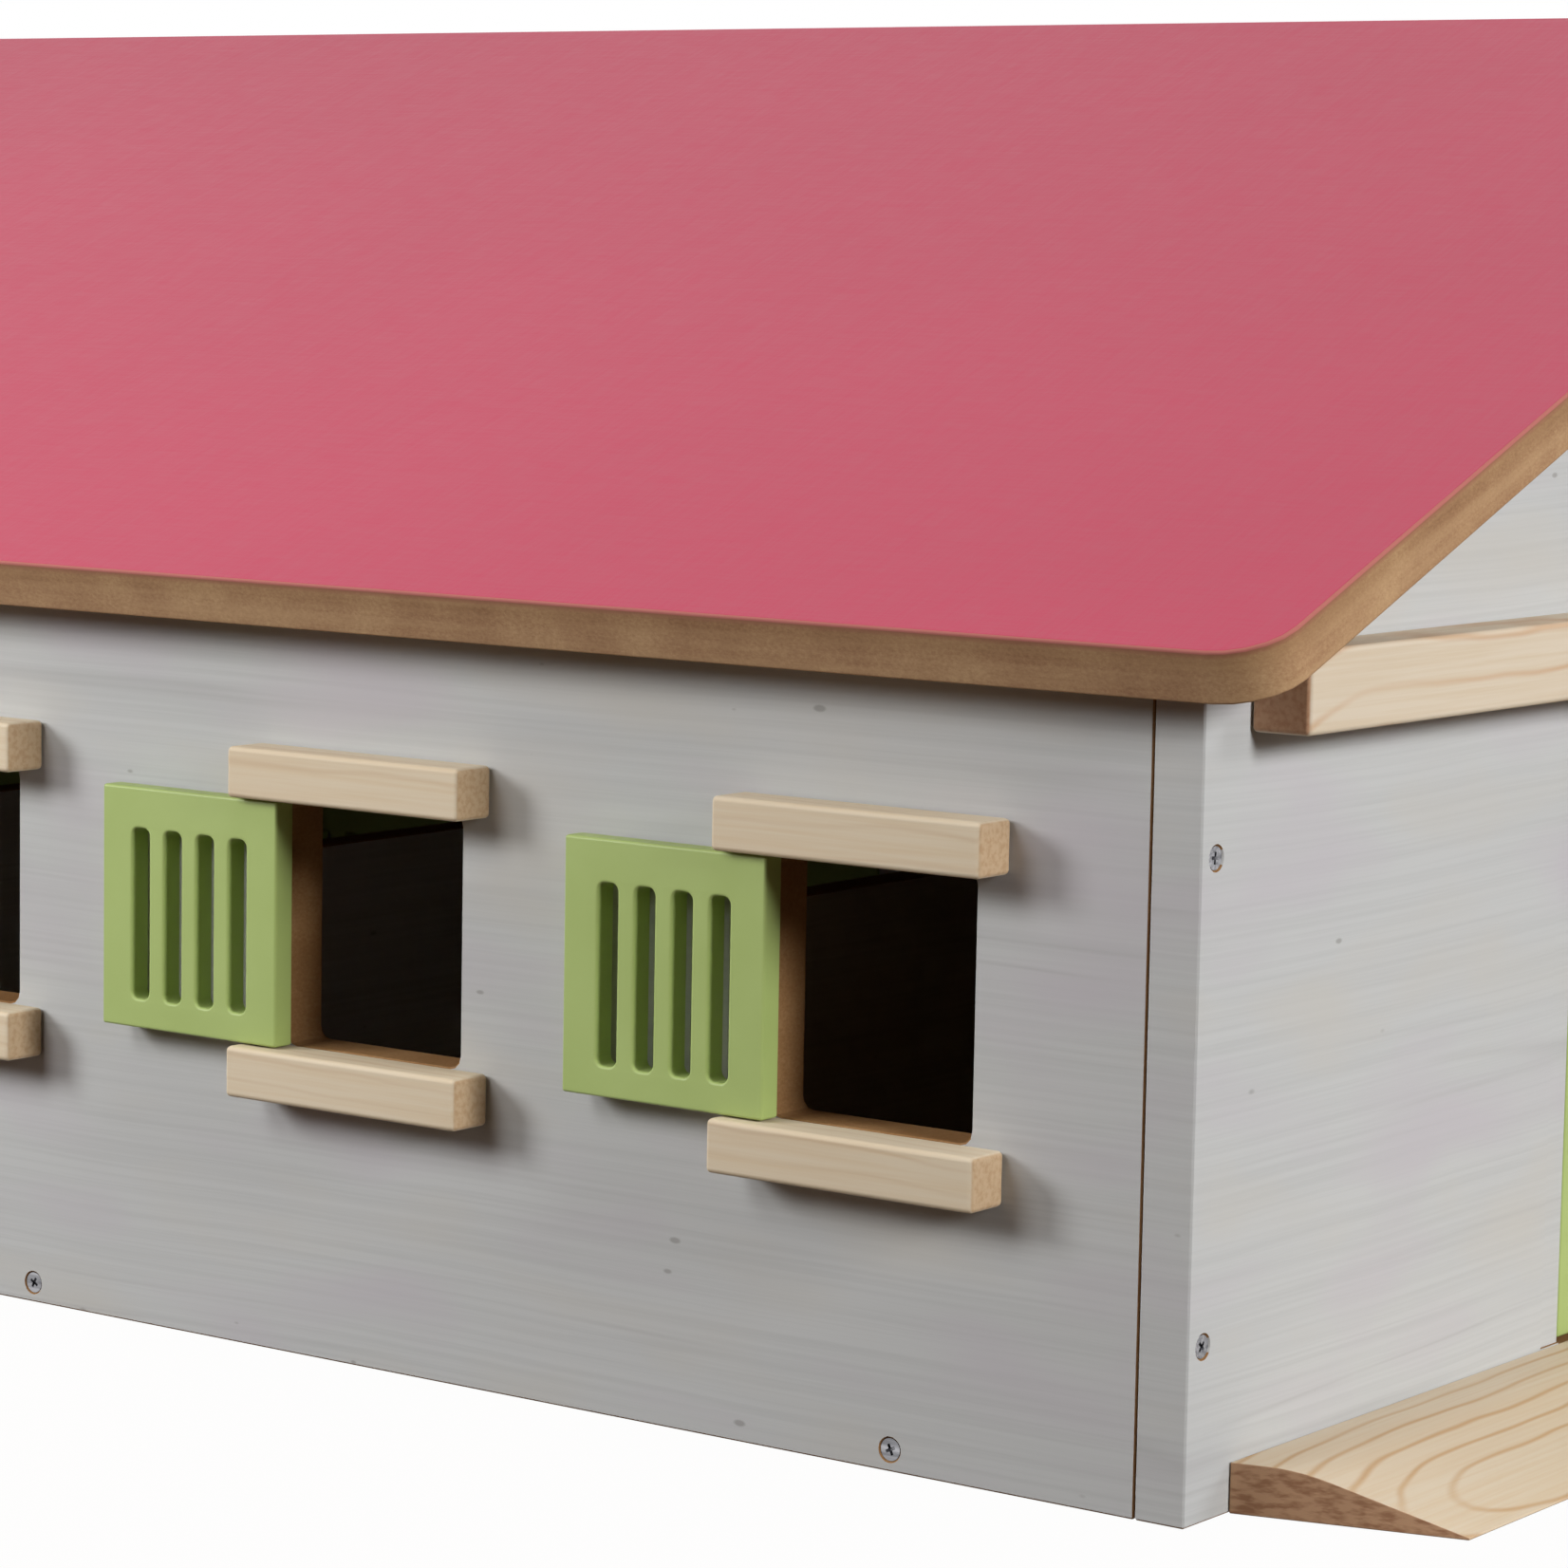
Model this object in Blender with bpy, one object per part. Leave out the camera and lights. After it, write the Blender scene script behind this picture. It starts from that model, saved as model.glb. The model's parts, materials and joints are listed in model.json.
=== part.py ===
# Toy horse stable: a board-built stable with nine stalls and a store on both sides of an aisle.
# The front gable faces -Y, X runs along its width and Z is up. The origin is on the ground,
# in the middle of the stable with its ramp. Each side's pieces are laid out once, for the side
# at -X, about an upright line through the house's middle, and turned half a turn for +X.
import math

import bmesh
import bpy
from mathutils import Matrix, Vector

# Boards and the gaps between pieces, in metres
WALL_BOARD = 0.012
ROOF_BOARD = 0.012
FLOOR_BOARD = 0.010
INNER_BOARD = 0.009
SEAT_GAP = 0.0003
BOARD_EASE = 0.0004
WELD = 0.00001
OVERRUN = 0.002

# House
HOUSE_WIDTH = 0.700
WALL_HEIGHT = 0.1775
ROOF_PITCH = math.radians(21.75)
EAVE_OVERHANG = 0.0134
VERGE_OVERHANG = 0.0238
ROOF_CORNER = 0.014
ROOF_EASE = 0.0012

# Rooms along each side, front to back, and which of them have a window and a stall door
ROOM_PITCH = 0.1412
FIRST_WINDOW = 0.0812
ROOMS = 5
LEFT_STALLS = (0, 1, 2, 3, 4)
RIGHT_STALLS = (1, 2, 3, 4)

# Windows, with a pine bar above and below each
WINDOW_WIDTH = 0.0526
WINDOW_SILL = 0.0737
WINDOW_HEIGHT = 0.0584
WINDOW_CORNER = 0.003
BAR_SIDE = 0.012
BAR_OVERHANG = 0.0087
PINE_EASE = 0.0007

# Shutters, which turn on pins in the bars
SHUTTER_WIDTH = 0.0555
SHUTTER_BOARD = 0.006
SHUTTER_OFF_WALL = 0.003
SHUTTER_PIN_IN = 0.0040
PIN_RADIUS = 0.001
PIN_REACH = 0.004
PIN_ROOT = 0.005
PIN_CLEARANCE = 0.0003
DOOR_EASE = 0.0006
SHUTTER_GAP = 0.0004
SHUTTER_STILE = 0.0088
SHUTTER_RAIL = 0.0081
SHUTTER_SLOT_PITCH = 0.0103
SLOT_WIDTH = 0.0055
SLOT_CORNER = 0.0018

# Doorway in the front gable and its two leaves
DOORWAY_WIDTH = 0.370
DOORWAY_SILL = 0.010
LEAF_BOARD = 0.009
LEAF_PIN_IN = 0.0045
LEAF_SIDE_GAP = 0.0018
LEAF_FOOT_GAP = 0.0015
LEAF_HEAD_GAP = 0.0006
LEAF_MEETING_GAP = 0.0012
LEAF_STILE = 0.030
LEAF_RAIL = 0.024
LEAF_SLOT_HEIGHT = 0.074
LEAF_SLOT_PITCH = 0.0165
REBATE_WIDTH = 0.0093
REBATE_DEPTH = 0.0008
REBATE_LAP = 0.001

# Pine beam over the doorway and pine ramp at its foot
BEAM_INSET = 0.0175
BEAM_DEPTH = 0.014
BEAM_HEIGHT = 0.0178
BEAM_BOTTOM = 0.1643
RAMP_DEPTH = 0.0495
RAMP_HEIGHT = 0.011
RAMP_LANDING = 0.014
RAMP_BLEND = 0.007
RAMP_NOSE = 0.0006
RAMP_SKEW = 0.0135

# Aisle walls, partitions housed in the floor board, and stall doors
STALL_DOOR_WIDTH = 0.064
STALL_DOOR_HEAD = 0.112
AISLE_WALL_HEIGHT = 0.132
PARTITION_HEIGHT = 0.112
PARTITION_HOUSING = 0.003
STALL_DOOR_BOARD = 0.006
STALL_PIN_IN = 0.0030
STALL_SIDE_GAP = 0.0016
STALL_FOOT_GAP = 0.0012
STALL_HEAD_GAP = 0.0006
STALL_STILE = 0.010
STALL_RAIL = 0.012
STALL_SLOT_HEIGHT = 0.050
STALL_SLOT_PITCH = 0.0103

# Ridge beam and the butt hinges between it and the roof panels
RIDGE_WIDTH = 0.014
RIDGE_HEIGHT = 0.026
RIDGE_DROP = 0.0020
RIDGE_END_INSET = 0.001
RIDGE_SIDE_GAP = 0.0006
HINGE_LENGTH = 0.040
HINGE_FROM_END = 0.110
HINGE_LEAF = 0.0010
HINGE_LEAF_LENGTH = 0.0055
HINGE_PIN_OUT = 0.0016
KNUCKLE_RADIUS = 0.0020
HINGE_PIN_RADIUS = 0.0009
HINGE_CLEARANCE = 0.0003

# Sides of round shapes
ARC_STEPS = 5
PIN_SIDES = 8
KNUCKLE_SIDES = 12

# Worked out from the sizes above
WALL_LENGTH = 2 * FIRST_WINDOW + (ROOMS - 1) * ROOM_PITCH
FRONT_Y = RAMP_DEPTH + SEAT_GAP - (RAMP_DEPTH + SEAT_GAP + WALL_LENGTH + VERGE_OVERHANG) / 2
HOUSE_Y = FRONT_Y + WALL_LENGTH / 2
HALF_WIDTH = HOUSE_WIDTH / 2
HALF_LENGTH = WALL_LENGTH / 2
INNER_X = HALF_WIDTH - WALL_BOARD
INNER_Y = HALF_LENGTH - WALL_BOARD
AISLE_HALF = DOORWAY_WIDTH / 2
DOORWAY_HEAD = BEAM_BOTTOM
WINDOW_HEAD = WINDOW_SILL + WINDOW_HEIGHT
PIN_HOLE = PIN_RADIUS + PIN_CLEARANCE
PIN_DRILL = PIN_REACH + PIN_CLEARANCE
SLOPE = Vector((math.cos(ROOF_PITCH), math.sin(ROOF_PITCH)))
UNDERSIDE_AT_WALL = WALL_HEIGHT + SEAT_GAP
RIDGE_FOOT_X = RIDGE_WIDTH / 2 + RIDGE_SIDE_GAP
RIDGE_FOOT_Z = UNDERSIDE_AT_WALL + (HALF_WIDTH - RIDGE_FOOT_X) * math.tan(ROOF_PITCH)
RIDGE_TOP_Z = RIDGE_FOOT_Z + ROOF_BOARD * SLOPE.x - RIDGE_DROP
HINGE_X = RIDGE_WIDTH / 2 + HINGE_PIN_OUT
HINGE_UP = (HINGE_PIN_OUT + (HINGE_PIN_OUT - RIDGE_SIDE_GAP) * SLOPE.x) / SLOPE.y
HINGE_Z = RIDGE_FOOT_Z + HINGE_UP
HINGE_TO_UNDERSIDE = (HINGE_PIN_OUT - RIDGE_SIDE_GAP) * SLOPE.y + HINGE_UP * SLOPE.x
PANEL_LENGTH = (HALF_WIDTH + EAVE_OVERHANG - RIDGE_FOOT_X) / SLOPE.x
ROOF_HALF_LENGTH = HALF_LENGTH + VERGE_OVERHANG
SHUTTER_HEIGHT = WINDOW_HEIGHT - 2 * SHUTTER_GAP
LEAF_WIDTH = AISLE_HALF - LEAF_SIDE_GAP - LEAF_MEETING_GAP / 2
LEAF_HEIGHT = DOORWAY_HEAD - DOORWAY_SILL - LEAF_FOOT_GAP - LEAF_HEAD_GAP
STALL_LEAF_WIDTH = STALL_DOOR_WIDTH - 2 * STALL_SIDE_GAP
STALL_LEAF_HEIGHT = STALL_DOOR_HEAD - FLOOR_BOARD - STALL_FOOT_GAP - STALL_HEAD_GAP

COLOURS = {
    "white_panel": ((190, 190, 190), 0.55, 0.0),
    "roof_pink": ((200, 95, 116), 0.40, 0.0),
    "pine": ((215, 195, 165), 0.60, 0.0),
    "green": ((152, 182, 100), 0.45, 0.0),
    "steel": ((175, 175, 178), 0.30, 1.0),
}


def clear_scene():
    for old in list(bpy.data.objects):
        bpy.data.objects.remove(old, do_unlink=True)


def linear(channel_share):
    if channel_share <= 0.04045:
        return channel_share / 12.92
    return ((channel_share + 0.055) / 1.055) ** 2.4


def make_material(name):
    """A Principled BSDF in one of the object's colours, which are written as sRGB out of 255."""
    colour, roughness, metallic = COLOURS[name]
    made = bpy.data.materials.new(name)
    made.use_nodes = True
    shader = made.node_tree.nodes["Principled BSDF"]
    shader.inputs["Base Color"].default_value = [linear(c / 255) for c in colour] + [1.0]
    shader.inputs["Roughness"].default_value = roughness
    shader.inputs["Metallic"].default_value = metallic
    return made


def make_object(name, bm):
    """Turns a bmesh into an object of the scene, with its faces pointing out."""
    bmesh.ops.recalc_face_normals(bm, faces=bm.faces)
    mesh = bpy.data.meshes.new(name)
    bm.to_mesh(mesh)
    bm.free()
    made = bpy.data.objects.new(name, mesh)
    bpy.context.scene.collection.objects.link(made)
    return made


def rounded_rectangle(low_u, low_v, high_u, high_v, radius, steps=ARC_STEPS):
    """Corner arcs of a rectangle, anticlockwise. A radius of zero gives its four corners."""
    if radius == 0:
        return [(low_u, low_v), (high_u, low_v), (high_u, high_v), (low_u, high_v)]
    centres = [
        (high_u - radius, low_v + radius, -90),
        (high_u - radius, high_v - radius, 0),
        (low_u + radius, high_v - radius, 90),
        (low_u + radius, low_v + radius, 180),
    ]
    points = []
    for centre_u, centre_v, start in centres:
        for step in range(steps + 1):
            angle = math.radians(start + 90 * step / steps)
            points.append((centre_u + radius * math.cos(angle), centre_v + radius * math.sin(angle)))
    return points


def on_rim(edge, low, high):
    """Whether both ends of an edge lie on the sides of the rectangle between two corners."""
    def outside(corner):
        return min(corner.x - low[0], high[0] - corner.x, corner.y - low[1], high[1] - corner.y) < WELD
    return all(outside(end.co) for end in edge.verts)


def board(outline, holes=(), thickness=WALL_BOARD, ease=BOARD_EASE, ease_steps=1, eased_holes=True):
    """A flat board with through holes: outline in X and Y, thickness from 0 up along Z, edges eased."""
    bm = bmesh.new()
    for loop in (outline, *holes):
        corners = [bm.verts.new((u, v, 0)) for u, v in loop]
        for first, second in zip(corners, corners[1:] + corners[:1]):
            bm.edges.new((first, second))
    bmesh.ops.remove_doubles(bm, verts=bm.verts, dist=WELD)
    bmesh.ops.triangle_fill(bm, use_beauty=True, edges=bm.edges, normal=(0, 0, 1))
    raised = bmesh.ops.extrude_face_region(bm, geom=list(bm.faces))
    lifted = [item for item in raised["geom"] if isinstance(item, bmesh.types.BMVert)]
    bmesh.ops.translate(bm, verts=lifted, vec=(0, 0, thickness))
    bmesh.ops.recalc_face_normals(bm, faces=bm.faces)
    if ease:
        sharp = [edge for edge in bm.edges if edge.calc_face_angle(0) > math.radians(50)]
        if not eased_holes:
            low, high = min(outline), max(outline)
            sharp = [edge for edge in sharp if on_rim(edge, low, high)]
        bmesh.ops.bevel(
            bm, geom=sharp, offset=ease, offset_type="OFFSET", segments=ease_steps, profile=0.5,
            affect="EDGES", clamp_overlap=True, material=-1,
        )
    return bm


def stand(bm, plane):
    """Turns a flat board to stand in the YZ plane or the XZ plane, its thickness towards +X or +Y."""
    turns = {
        "YZ": Matrix(((0, 0, 1), (1, 0, 0), (0, 1, 0))),
        "XZ": Matrix(((1, 0, 0), (0, 0, 1), (0, 1, 0))),
    }
    bmesh.ops.transform(bm, matrix=turns[plane].to_4x4(), verts=bm.verts)
    return bm


def shift(bm, x=0.0, y=0.0, z=0.0):
    bmesh.ops.translate(bm, verts=bm.verts, vec=(x, y, z))
    return bm


def add_box(bm, low, high):
    size = [b - a for a, b in zip(low, high)]
    middle = [(a + b) / 2 for a, b in zip(low, high)]
    place = Matrix.Translation(middle) @ Matrix.Diagonal((*size, 1))
    bmesh.ops.create_cube(bm, size=1, matrix=place)


def add_cylinder(bm, foot, top, radius, sides=PIN_SIDES):
    foot, top = Vector(foot), Vector(top)
    along = top - foot
    turn = along.to_track_quat("Z", "Y").to_matrix().to_4x4()
    place = Matrix.Translation((foot + top) / 2) @ turn
    bmesh.ops.create_cone(
        bm, cap_ends=True, segments=sides, radius1=radius, radius2=radius, depth=along.length, matrix=place
    )


def combine(target, operation, tool):
    """Cuts the tool's shapes from the target, or joins them to it, and keeps the result as the mesh."""
    helper = make_object(target.name + "_tool", tool)
    helper.hide_render = True
    helper.display_type = "WIRE"
    step = target.modifiers.new(operation, "BOOLEAN")
    step.operation = operation
    step.solver = "EXACT"
    step.object = helper
    bpy.context.view_layer.update()
    graph = bpy.context.evaluated_depsgraph_get()
    result = bpy.data.meshes.new_from_object(target.evaluated_get(graph))
    target.modifiers.clear()
    target.data = result
    bpy.data.objects.remove(helper, do_unlink=True)


def finish(piece, material, smooth=False):
    piece.data.materials.clear()
    piece.data.materials.append(material)
    if smooth:
        piece.data.shade_smooth()
        piece.data.set_sharp_from_angle(angle=math.radians(35))
    return piece


def copy_of(piece, name):
    """A second object with the same mesh."""
    twin = bpy.data.objects.new(name, piece.data)
    bpy.context.scene.collection.objects.link(twin)
    return twin


def set_on(piece, parent, x=0.0, y=0.0, z=0.0, turn=0.0):
    piece.parent = parent
    piece.location = (x, y, z)
    piece.rotation_euler = (0, 0, turn)
    return piece


def room_middle(room):
    """Y of a room's middle from the house's middle, front room first on the left side."""
    return -HALF_LENGTH + FIRST_WINDOW + room * ROOM_PITCH


def make_frames():
    """Empties at the house's middle: one for each side, the right one half a turn round."""
    frames = {}
    for side, turn in (("left", 0.0), ("right", math.pi)):
        frame = bpy.data.objects.new(side + "_side", None)
        bpy.context.scene.collection.objects.link(frame)
        frame.location = (0, HOUSE_Y, 0)
        frame.rotation_euler = (0, 0, turn)
        frames[side] = frame
    return frames


def make_floor(frames, stalls_by_side):
    """The floor board, with the partitions housed in it and a hole for each stall door's pin."""
    size_x, size_y = INNER_X - SEAT_GAP, INNER_Y - SEAT_GAP
    outline = rounded_rectangle(-size_x, -size_y, size_x, size_y, 0)
    floor = make_object("floor_board", board(outline, thickness=FLOOR_BOARD))
    low_x, high_x = -INNER_X + 2 * SEAT_GAP, -AISLE_HALF - INNER_BOARD - SEAT_GAP
    outline = rounded_rectangle(low_x, FLOOR_BOARD - PARTITION_HOUSING, high_x, PARTITION_HEIGHT, 0)
    for room in range(ROOMS - 1):
        middle = (room_middle(room) + room_middle(room + 1)) / 2
        for turned in (False, True):
            partition = stand(board(outline, thickness=INNER_BOARD), "XZ")
            shift(partition, y=middle - INNER_BOARD / 2)
            combine(floor, "UNION", mirror_x(partition) if turned else partition)
    drills = bmesh.new()
    for side, sign in (("left", 1), ("right", -1)):
        for room in stalls_by_side[side]:
            x, y = sign * stall_pin_x(), sign * stall_pin_y(room)
            add_cylinder(drills, (x, y, FLOOR_BOARD - PIN_DRILL), (x, y, FLOOR_BOARD + OVERRUN), PIN_HOLE)
    combine(floor, "DIFFERENCE", drills)
    return set_on(finish(floor, PANEL), frames["left"])


def make_side_wall(side, stalls, frame):
    """An outer wall with a round-cornered window opening for each stall."""
    length = INNER_Y - SEAT_GAP
    outline = rounded_rectangle(-length, 0, length, WALL_HEIGHT, 0)
    holes = []
    for room in stalls:
        low = room_middle(room) - WINDOW_WIDTH / 2
        holes.append(
            rounded_rectangle(low, WINDOW_SILL, low + WINDOW_WIDTH, WINDOW_HEAD, WINDOW_CORNER, 3)
        )
    wall = make_object(side + "_side_wall", stand(board(outline, holes), "YZ"))
    return set_on(finish(wall, PANEL), frame, x=-HALF_WIDTH)


def gable_outline():
    """Half a gable's height at each side, its two slopes, and the notch that the ridge beam lies in."""
    notch = RIDGE_WIDTH / 2 + SEAT_GAP
    notch_z = RIDGE_TOP_Z - RIDGE_HEIGHT - SEAT_GAP
    shoulder = WALL_HEIGHT + (HALF_WIDTH - notch) * math.tan(ROOF_PITCH)
    right = [(HALF_WIDTH, 0), (HALF_WIDTH, WALL_HEIGHT), (notch, shoulder), (notch, notch_z)]
    return right + [(-x, z) for x, z in reversed(right)]


def make_front_gable(frame):
    doorway = rounded_rectangle(-AISLE_HALF, DOORWAY_SILL, AISLE_HALF, DOORWAY_HEAD, 0)
    gable = make_object("front_gable", stand(board(gable_outline(), [doorway]), "XZ"))
    cuts = bmesh.new()
    for sign in (-1, 1):
        edges = sorted((sign * (AISLE_HALF + REBATE_WIDTH), sign * (AISLE_HALF - OVERRUN)))
        low = (edges[0], -OVERRUN, DOORWAY_SILL + REBATE_LAP)
        add_box(cuts, low, (edges[1], REBATE_DEPTH, DOORWAY_HEAD + REBATE_LAP))
    combine(gable, "DIFFERENCE", cuts)
    drills = bmesh.new()
    for sign in (-1, 1):
        x, y = sign * leaf_pin_x(), WALL_BOARD / 2
        add_cylinder(drills, (x, y, DOORWAY_HEAD - OVERRUN), (x, y, DOORWAY_HEAD + PIN_DRILL), PIN_HOLE)
        add_cylinder(drills, (x, y, DOORWAY_SILL - PIN_DRILL), (x, y, DOORWAY_SILL + OVERRUN), PIN_HOLE)
    combine(gable, "DIFFERENCE", drills)
    return set_on(finish(gable, PANEL), frame, y=-HALF_LENGTH)


def make_back_gable(frame):
    gable = make_object("back_gable", stand(board(gable_outline()), "XZ"))
    return set_on(finish(gable, PANEL), frame, y=HALF_LENGTH - WALL_BOARD)


def hinge_places():
    """Y of each roof hinge's middle, from the house's middle."""
    return (HINGE_FROM_END - ROOF_HALF_LENGTH, ROOF_HALF_LENGTH - HINGE_FROM_END)


def hinge_pockets():
    """Cutters for what carries a hinge leaf, on the pin's +X side: leaf recesses, then knuckle grooves."""
    recesses, grooves = bmesh.new(), bmesh.new()
    half = HINGE_LENGTH / 2 + HINGE_CLEARANCE
    depth = HINGE_PIN_OUT + HINGE_LEAF + HINGE_CLEARANCE
    foot = HINGE_LEAF_LENGTH + HINGE_CLEARANCE
    for y in hinge_places():
        add_box(recesses, (0, y - half, -foot), (depth, y + half, 0))
        radius = KNUCKLE_RADIUS + HINGE_CLEARANCE
        add_cylinder(grooves, (0, y - half, 0), (0, y + half, 0), radius, KNUCKLE_SIDES)
    return recesses, grooves


def mirror_x(bm):
    bmesh.ops.transform(bm, matrix=Matrix.Diagonal((-1, 1, 1, 1)), verts=bm.verts)
    return bm


def make_ridge_beam(frame):
    half_width, half_length = RIDGE_WIDTH / 2, ROOF_HALF_LENGTH - RIDGE_END_INSET
    outline = rounded_rectangle(-half_width, -half_length, half_width, half_length, 0)
    beam = make_object("ridge_beam", board(outline, thickness=RIDGE_HEIGHT))
    for side in ("left", "right"):
        for cutter in hinge_pockets():
            shift(cutter, x=-HINGE_X, z=HINGE_Z - RIDGE_TOP_Z + RIDGE_HEIGHT)
            combine(beam, "DIFFERENCE", cutter if side == "left" else mirror_x(cutter))
    return set_on(finish(beam, PINE), frame, z=RIDGE_TOP_Z - RIDGE_HEIGHT)


def panel_outline():
    """The roof panel from above, its eave's two corners rounded, from the hinge pin as X zero."""
    ridge_x, eave_x = -HINGE_PIN_OUT, -HINGE_PIN_OUT - PANEL_LENGTH
    rounded = rounded_rectangle(eave_x, -ROOF_HALF_LENGTH, 0, ROOF_HALF_LENGTH, ROOF_CORNER)
    eave_end = [point for point in rounded if point[0] <= eave_x + ROOF_CORNER]
    return [(ridge_x, -ROOF_HALF_LENGTH), (ridge_x, ROOF_HALF_LENGTH)] + eave_end


def make_roof_panel(side, frame):
    """A laminated board, square-cut at the ridge, with its origin on the line of its hinge pins."""
    bm = board(panel_outline(), thickness=ROOF_BOARD, ease=ROOF_EASE, ease_steps=2)
    panel = make_object(side + "_roof_panel", shift(bm, z=-HINGE_TO_UNDERSIDE))
    for cutter in hinge_pockets():
        combine(panel, "DIFFERENCE", mirror_x(cutter))
    set_on(finish(panel, ROOF_PINK), frame, x=-HINGE_X, z=HINGE_Z)
    panel.rotation_euler = (0, -ROOF_PITCH, 0)
    return panel


def hinge_leaf(name, own_ends):
    """A leaf on the pin's +X side, with the two outer knuckles and the pin, or else with the middle one."""
    half = HINGE_LENGTH / 2
    middle = half / 3 + HINGE_CLEARANCE / 2
    tab = middle + HINGE_CLEARANCE if own_ends else middle
    foot, top, below = -HINGE_LEAF_LENGTH, -HINGE_CLEARANCE, -KNUCKLE_RADIUS - HINGE_CLEARANCE
    outer_z, middle_z = (top, below) if own_ends else (below, top)
    outline = [(-half, foot), (half, foot), (half, outer_z), (tab, outer_z), (tab, middle_z)]
    outline += [(-tab, middle_z), (-tab, outer_z), (-half, outer_z)]
    plate = stand(board(outline, thickness=HINGE_LEAF, ease=0), "YZ")
    leaf = make_object(name, shift(plate, x=HINGE_PIN_OUT))
    spans = [(-half, -tab), (tab, half)] if own_ends else [(-tab, tab)]
    knuckles = bmesh.new()
    for low, high in spans:
        add_cylinder(knuckles, (0, low, 0), (0, high, 0), KNUCKLE_RADIUS, KNUCKLE_SIDES)
    combine(leaf, "UNION", knuckles)
    core = bmesh.new()
    if own_ends:
        reach = half - HINGE_CLEARANCE
        add_cylinder(core, (0, -reach, 0), (0, reach, 0), HINGE_PIN_RADIUS)
        combine(leaf, "UNION", core)
    else:
        bore = HINGE_PIN_RADIUS + HINGE_CLEARANCE
        add_cylinder(core, (0, -half, 0), (0, half, 0), bore)
        combine(leaf, "DIFFERENCE", core)
    return finish(leaf, STEEL, smooth=True)


def make_roof_hinges(frames):
    """Two butt hinges to a side: the beam leaf stands still, the panel leaf lifts with the roof."""
    beam_leaf = hinge_leaf("left_roof_hinge_1_beam_leaf", own_ends=True)
    panel_leaf = hinge_leaf("left_roof_hinge_1_panel_leaf", own_ends=False)
    panel_leaf.data.transform(Matrix.Diagonal((-1, 1, 1, 1)))
    panel_leaf.data.flip_normals()
    for side, frame in frames.items():
        for number, y in enumerate(hinge_places() if side == "left" else hinge_places()[::-1], 1):
            for pattern, kind in ((beam_leaf, "beam_leaf"), (panel_leaf, "panel_leaf")):
                name = f"{side}_roof_hinge_{number}_{kind}"
                leaf = pattern if pattern.name == name else copy_of(pattern, name)
                set_on(leaf, frame, x=-HINGE_X, y=y, z=HINGE_Z)
                if kind == "panel_leaf":
                    leaf.rotation_euler = (0, -ROOF_PITCH, 0)


def slots(width, pin_in, low, high, stile, pitch, corner_steps=1):
    """As many upright slots with rounded corners as fit between a board's two stiles."""
    between = round((width - 2 * stile - SLOT_WIDTH) / pitch)
    first = width / 2 - pin_in - (between * pitch + SLOT_WIDTH) / 2
    loops = []
    for index in range(between + 1):
        left = first + index * pitch
        loops.append(rounded_rectangle(left, low, left + SLOT_WIDTH, high, SLOT_CORNER, corner_steps))
    return loops


def hinged_board(name, size, pin_in, foot_gap, head_gap, holes, eased_holes=True):
    """A green board along +Y with a pin at its head and its foot, its origin on the pins' line."""
    width, height, thickness = size
    outline = rounded_rectangle(-pin_in, 0, width - pin_in, height, 0)
    bm = stand(board(outline, holes, thickness, DOOR_EASE, eased_holes=eased_holes), "YZ")
    leaf = make_object(name, shift(bm, x=-thickness / 2))
    pins = bmesh.new()
    add_cylinder(pins, (0, 0, -foot_gap - PIN_REACH), (0, 0, PIN_ROOT), PIN_RADIUS)
    add_cylinder(pins, (0, 0, height - PIN_ROOT), (0, 0, height + head_gap + PIN_REACH), PIN_RADIUS)
    combine(leaf, "UNION", pins)
    return finish(leaf, GREEN, smooth=True)


def shutter_pin():
    """X and Y of a shutter's pins, from the wall's face and the window's middle."""
    return -SHUTTER_OFF_WALL - SHUTTER_BOARD / 2, WINDOW_WIDTH / 2


def make_bar(name, pin_hole_up):
    """A pine bar along Y. Its origin is on the wall's face at the window's edge that it borders."""
    half = WINDOW_WIDTH / 2 + BAR_OVERHANG
    low_z = -BAR_SIDE if pin_hole_up else 0
    outline = rounded_rectangle(-half, low_z, half, low_z + BAR_SIDE, 0)
    bm = stand(board(outline, thickness=BAR_SIDE, ease=PINE_EASE), "YZ")
    bar = make_object(name, shift(bm, x=-BAR_SIDE - SEAT_GAP))
    x, y = shutter_pin()
    sign = -1 if pin_hole_up else 1
    drill = bmesh.new()
    add_cylinder(drill, (x, y, -sign * OVERRUN), (x, y, sign * PIN_DRILL), PIN_HOLE)
    combine(bar, "DIFFERENCE", drill)
    return finish(bar, PINE)


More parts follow.
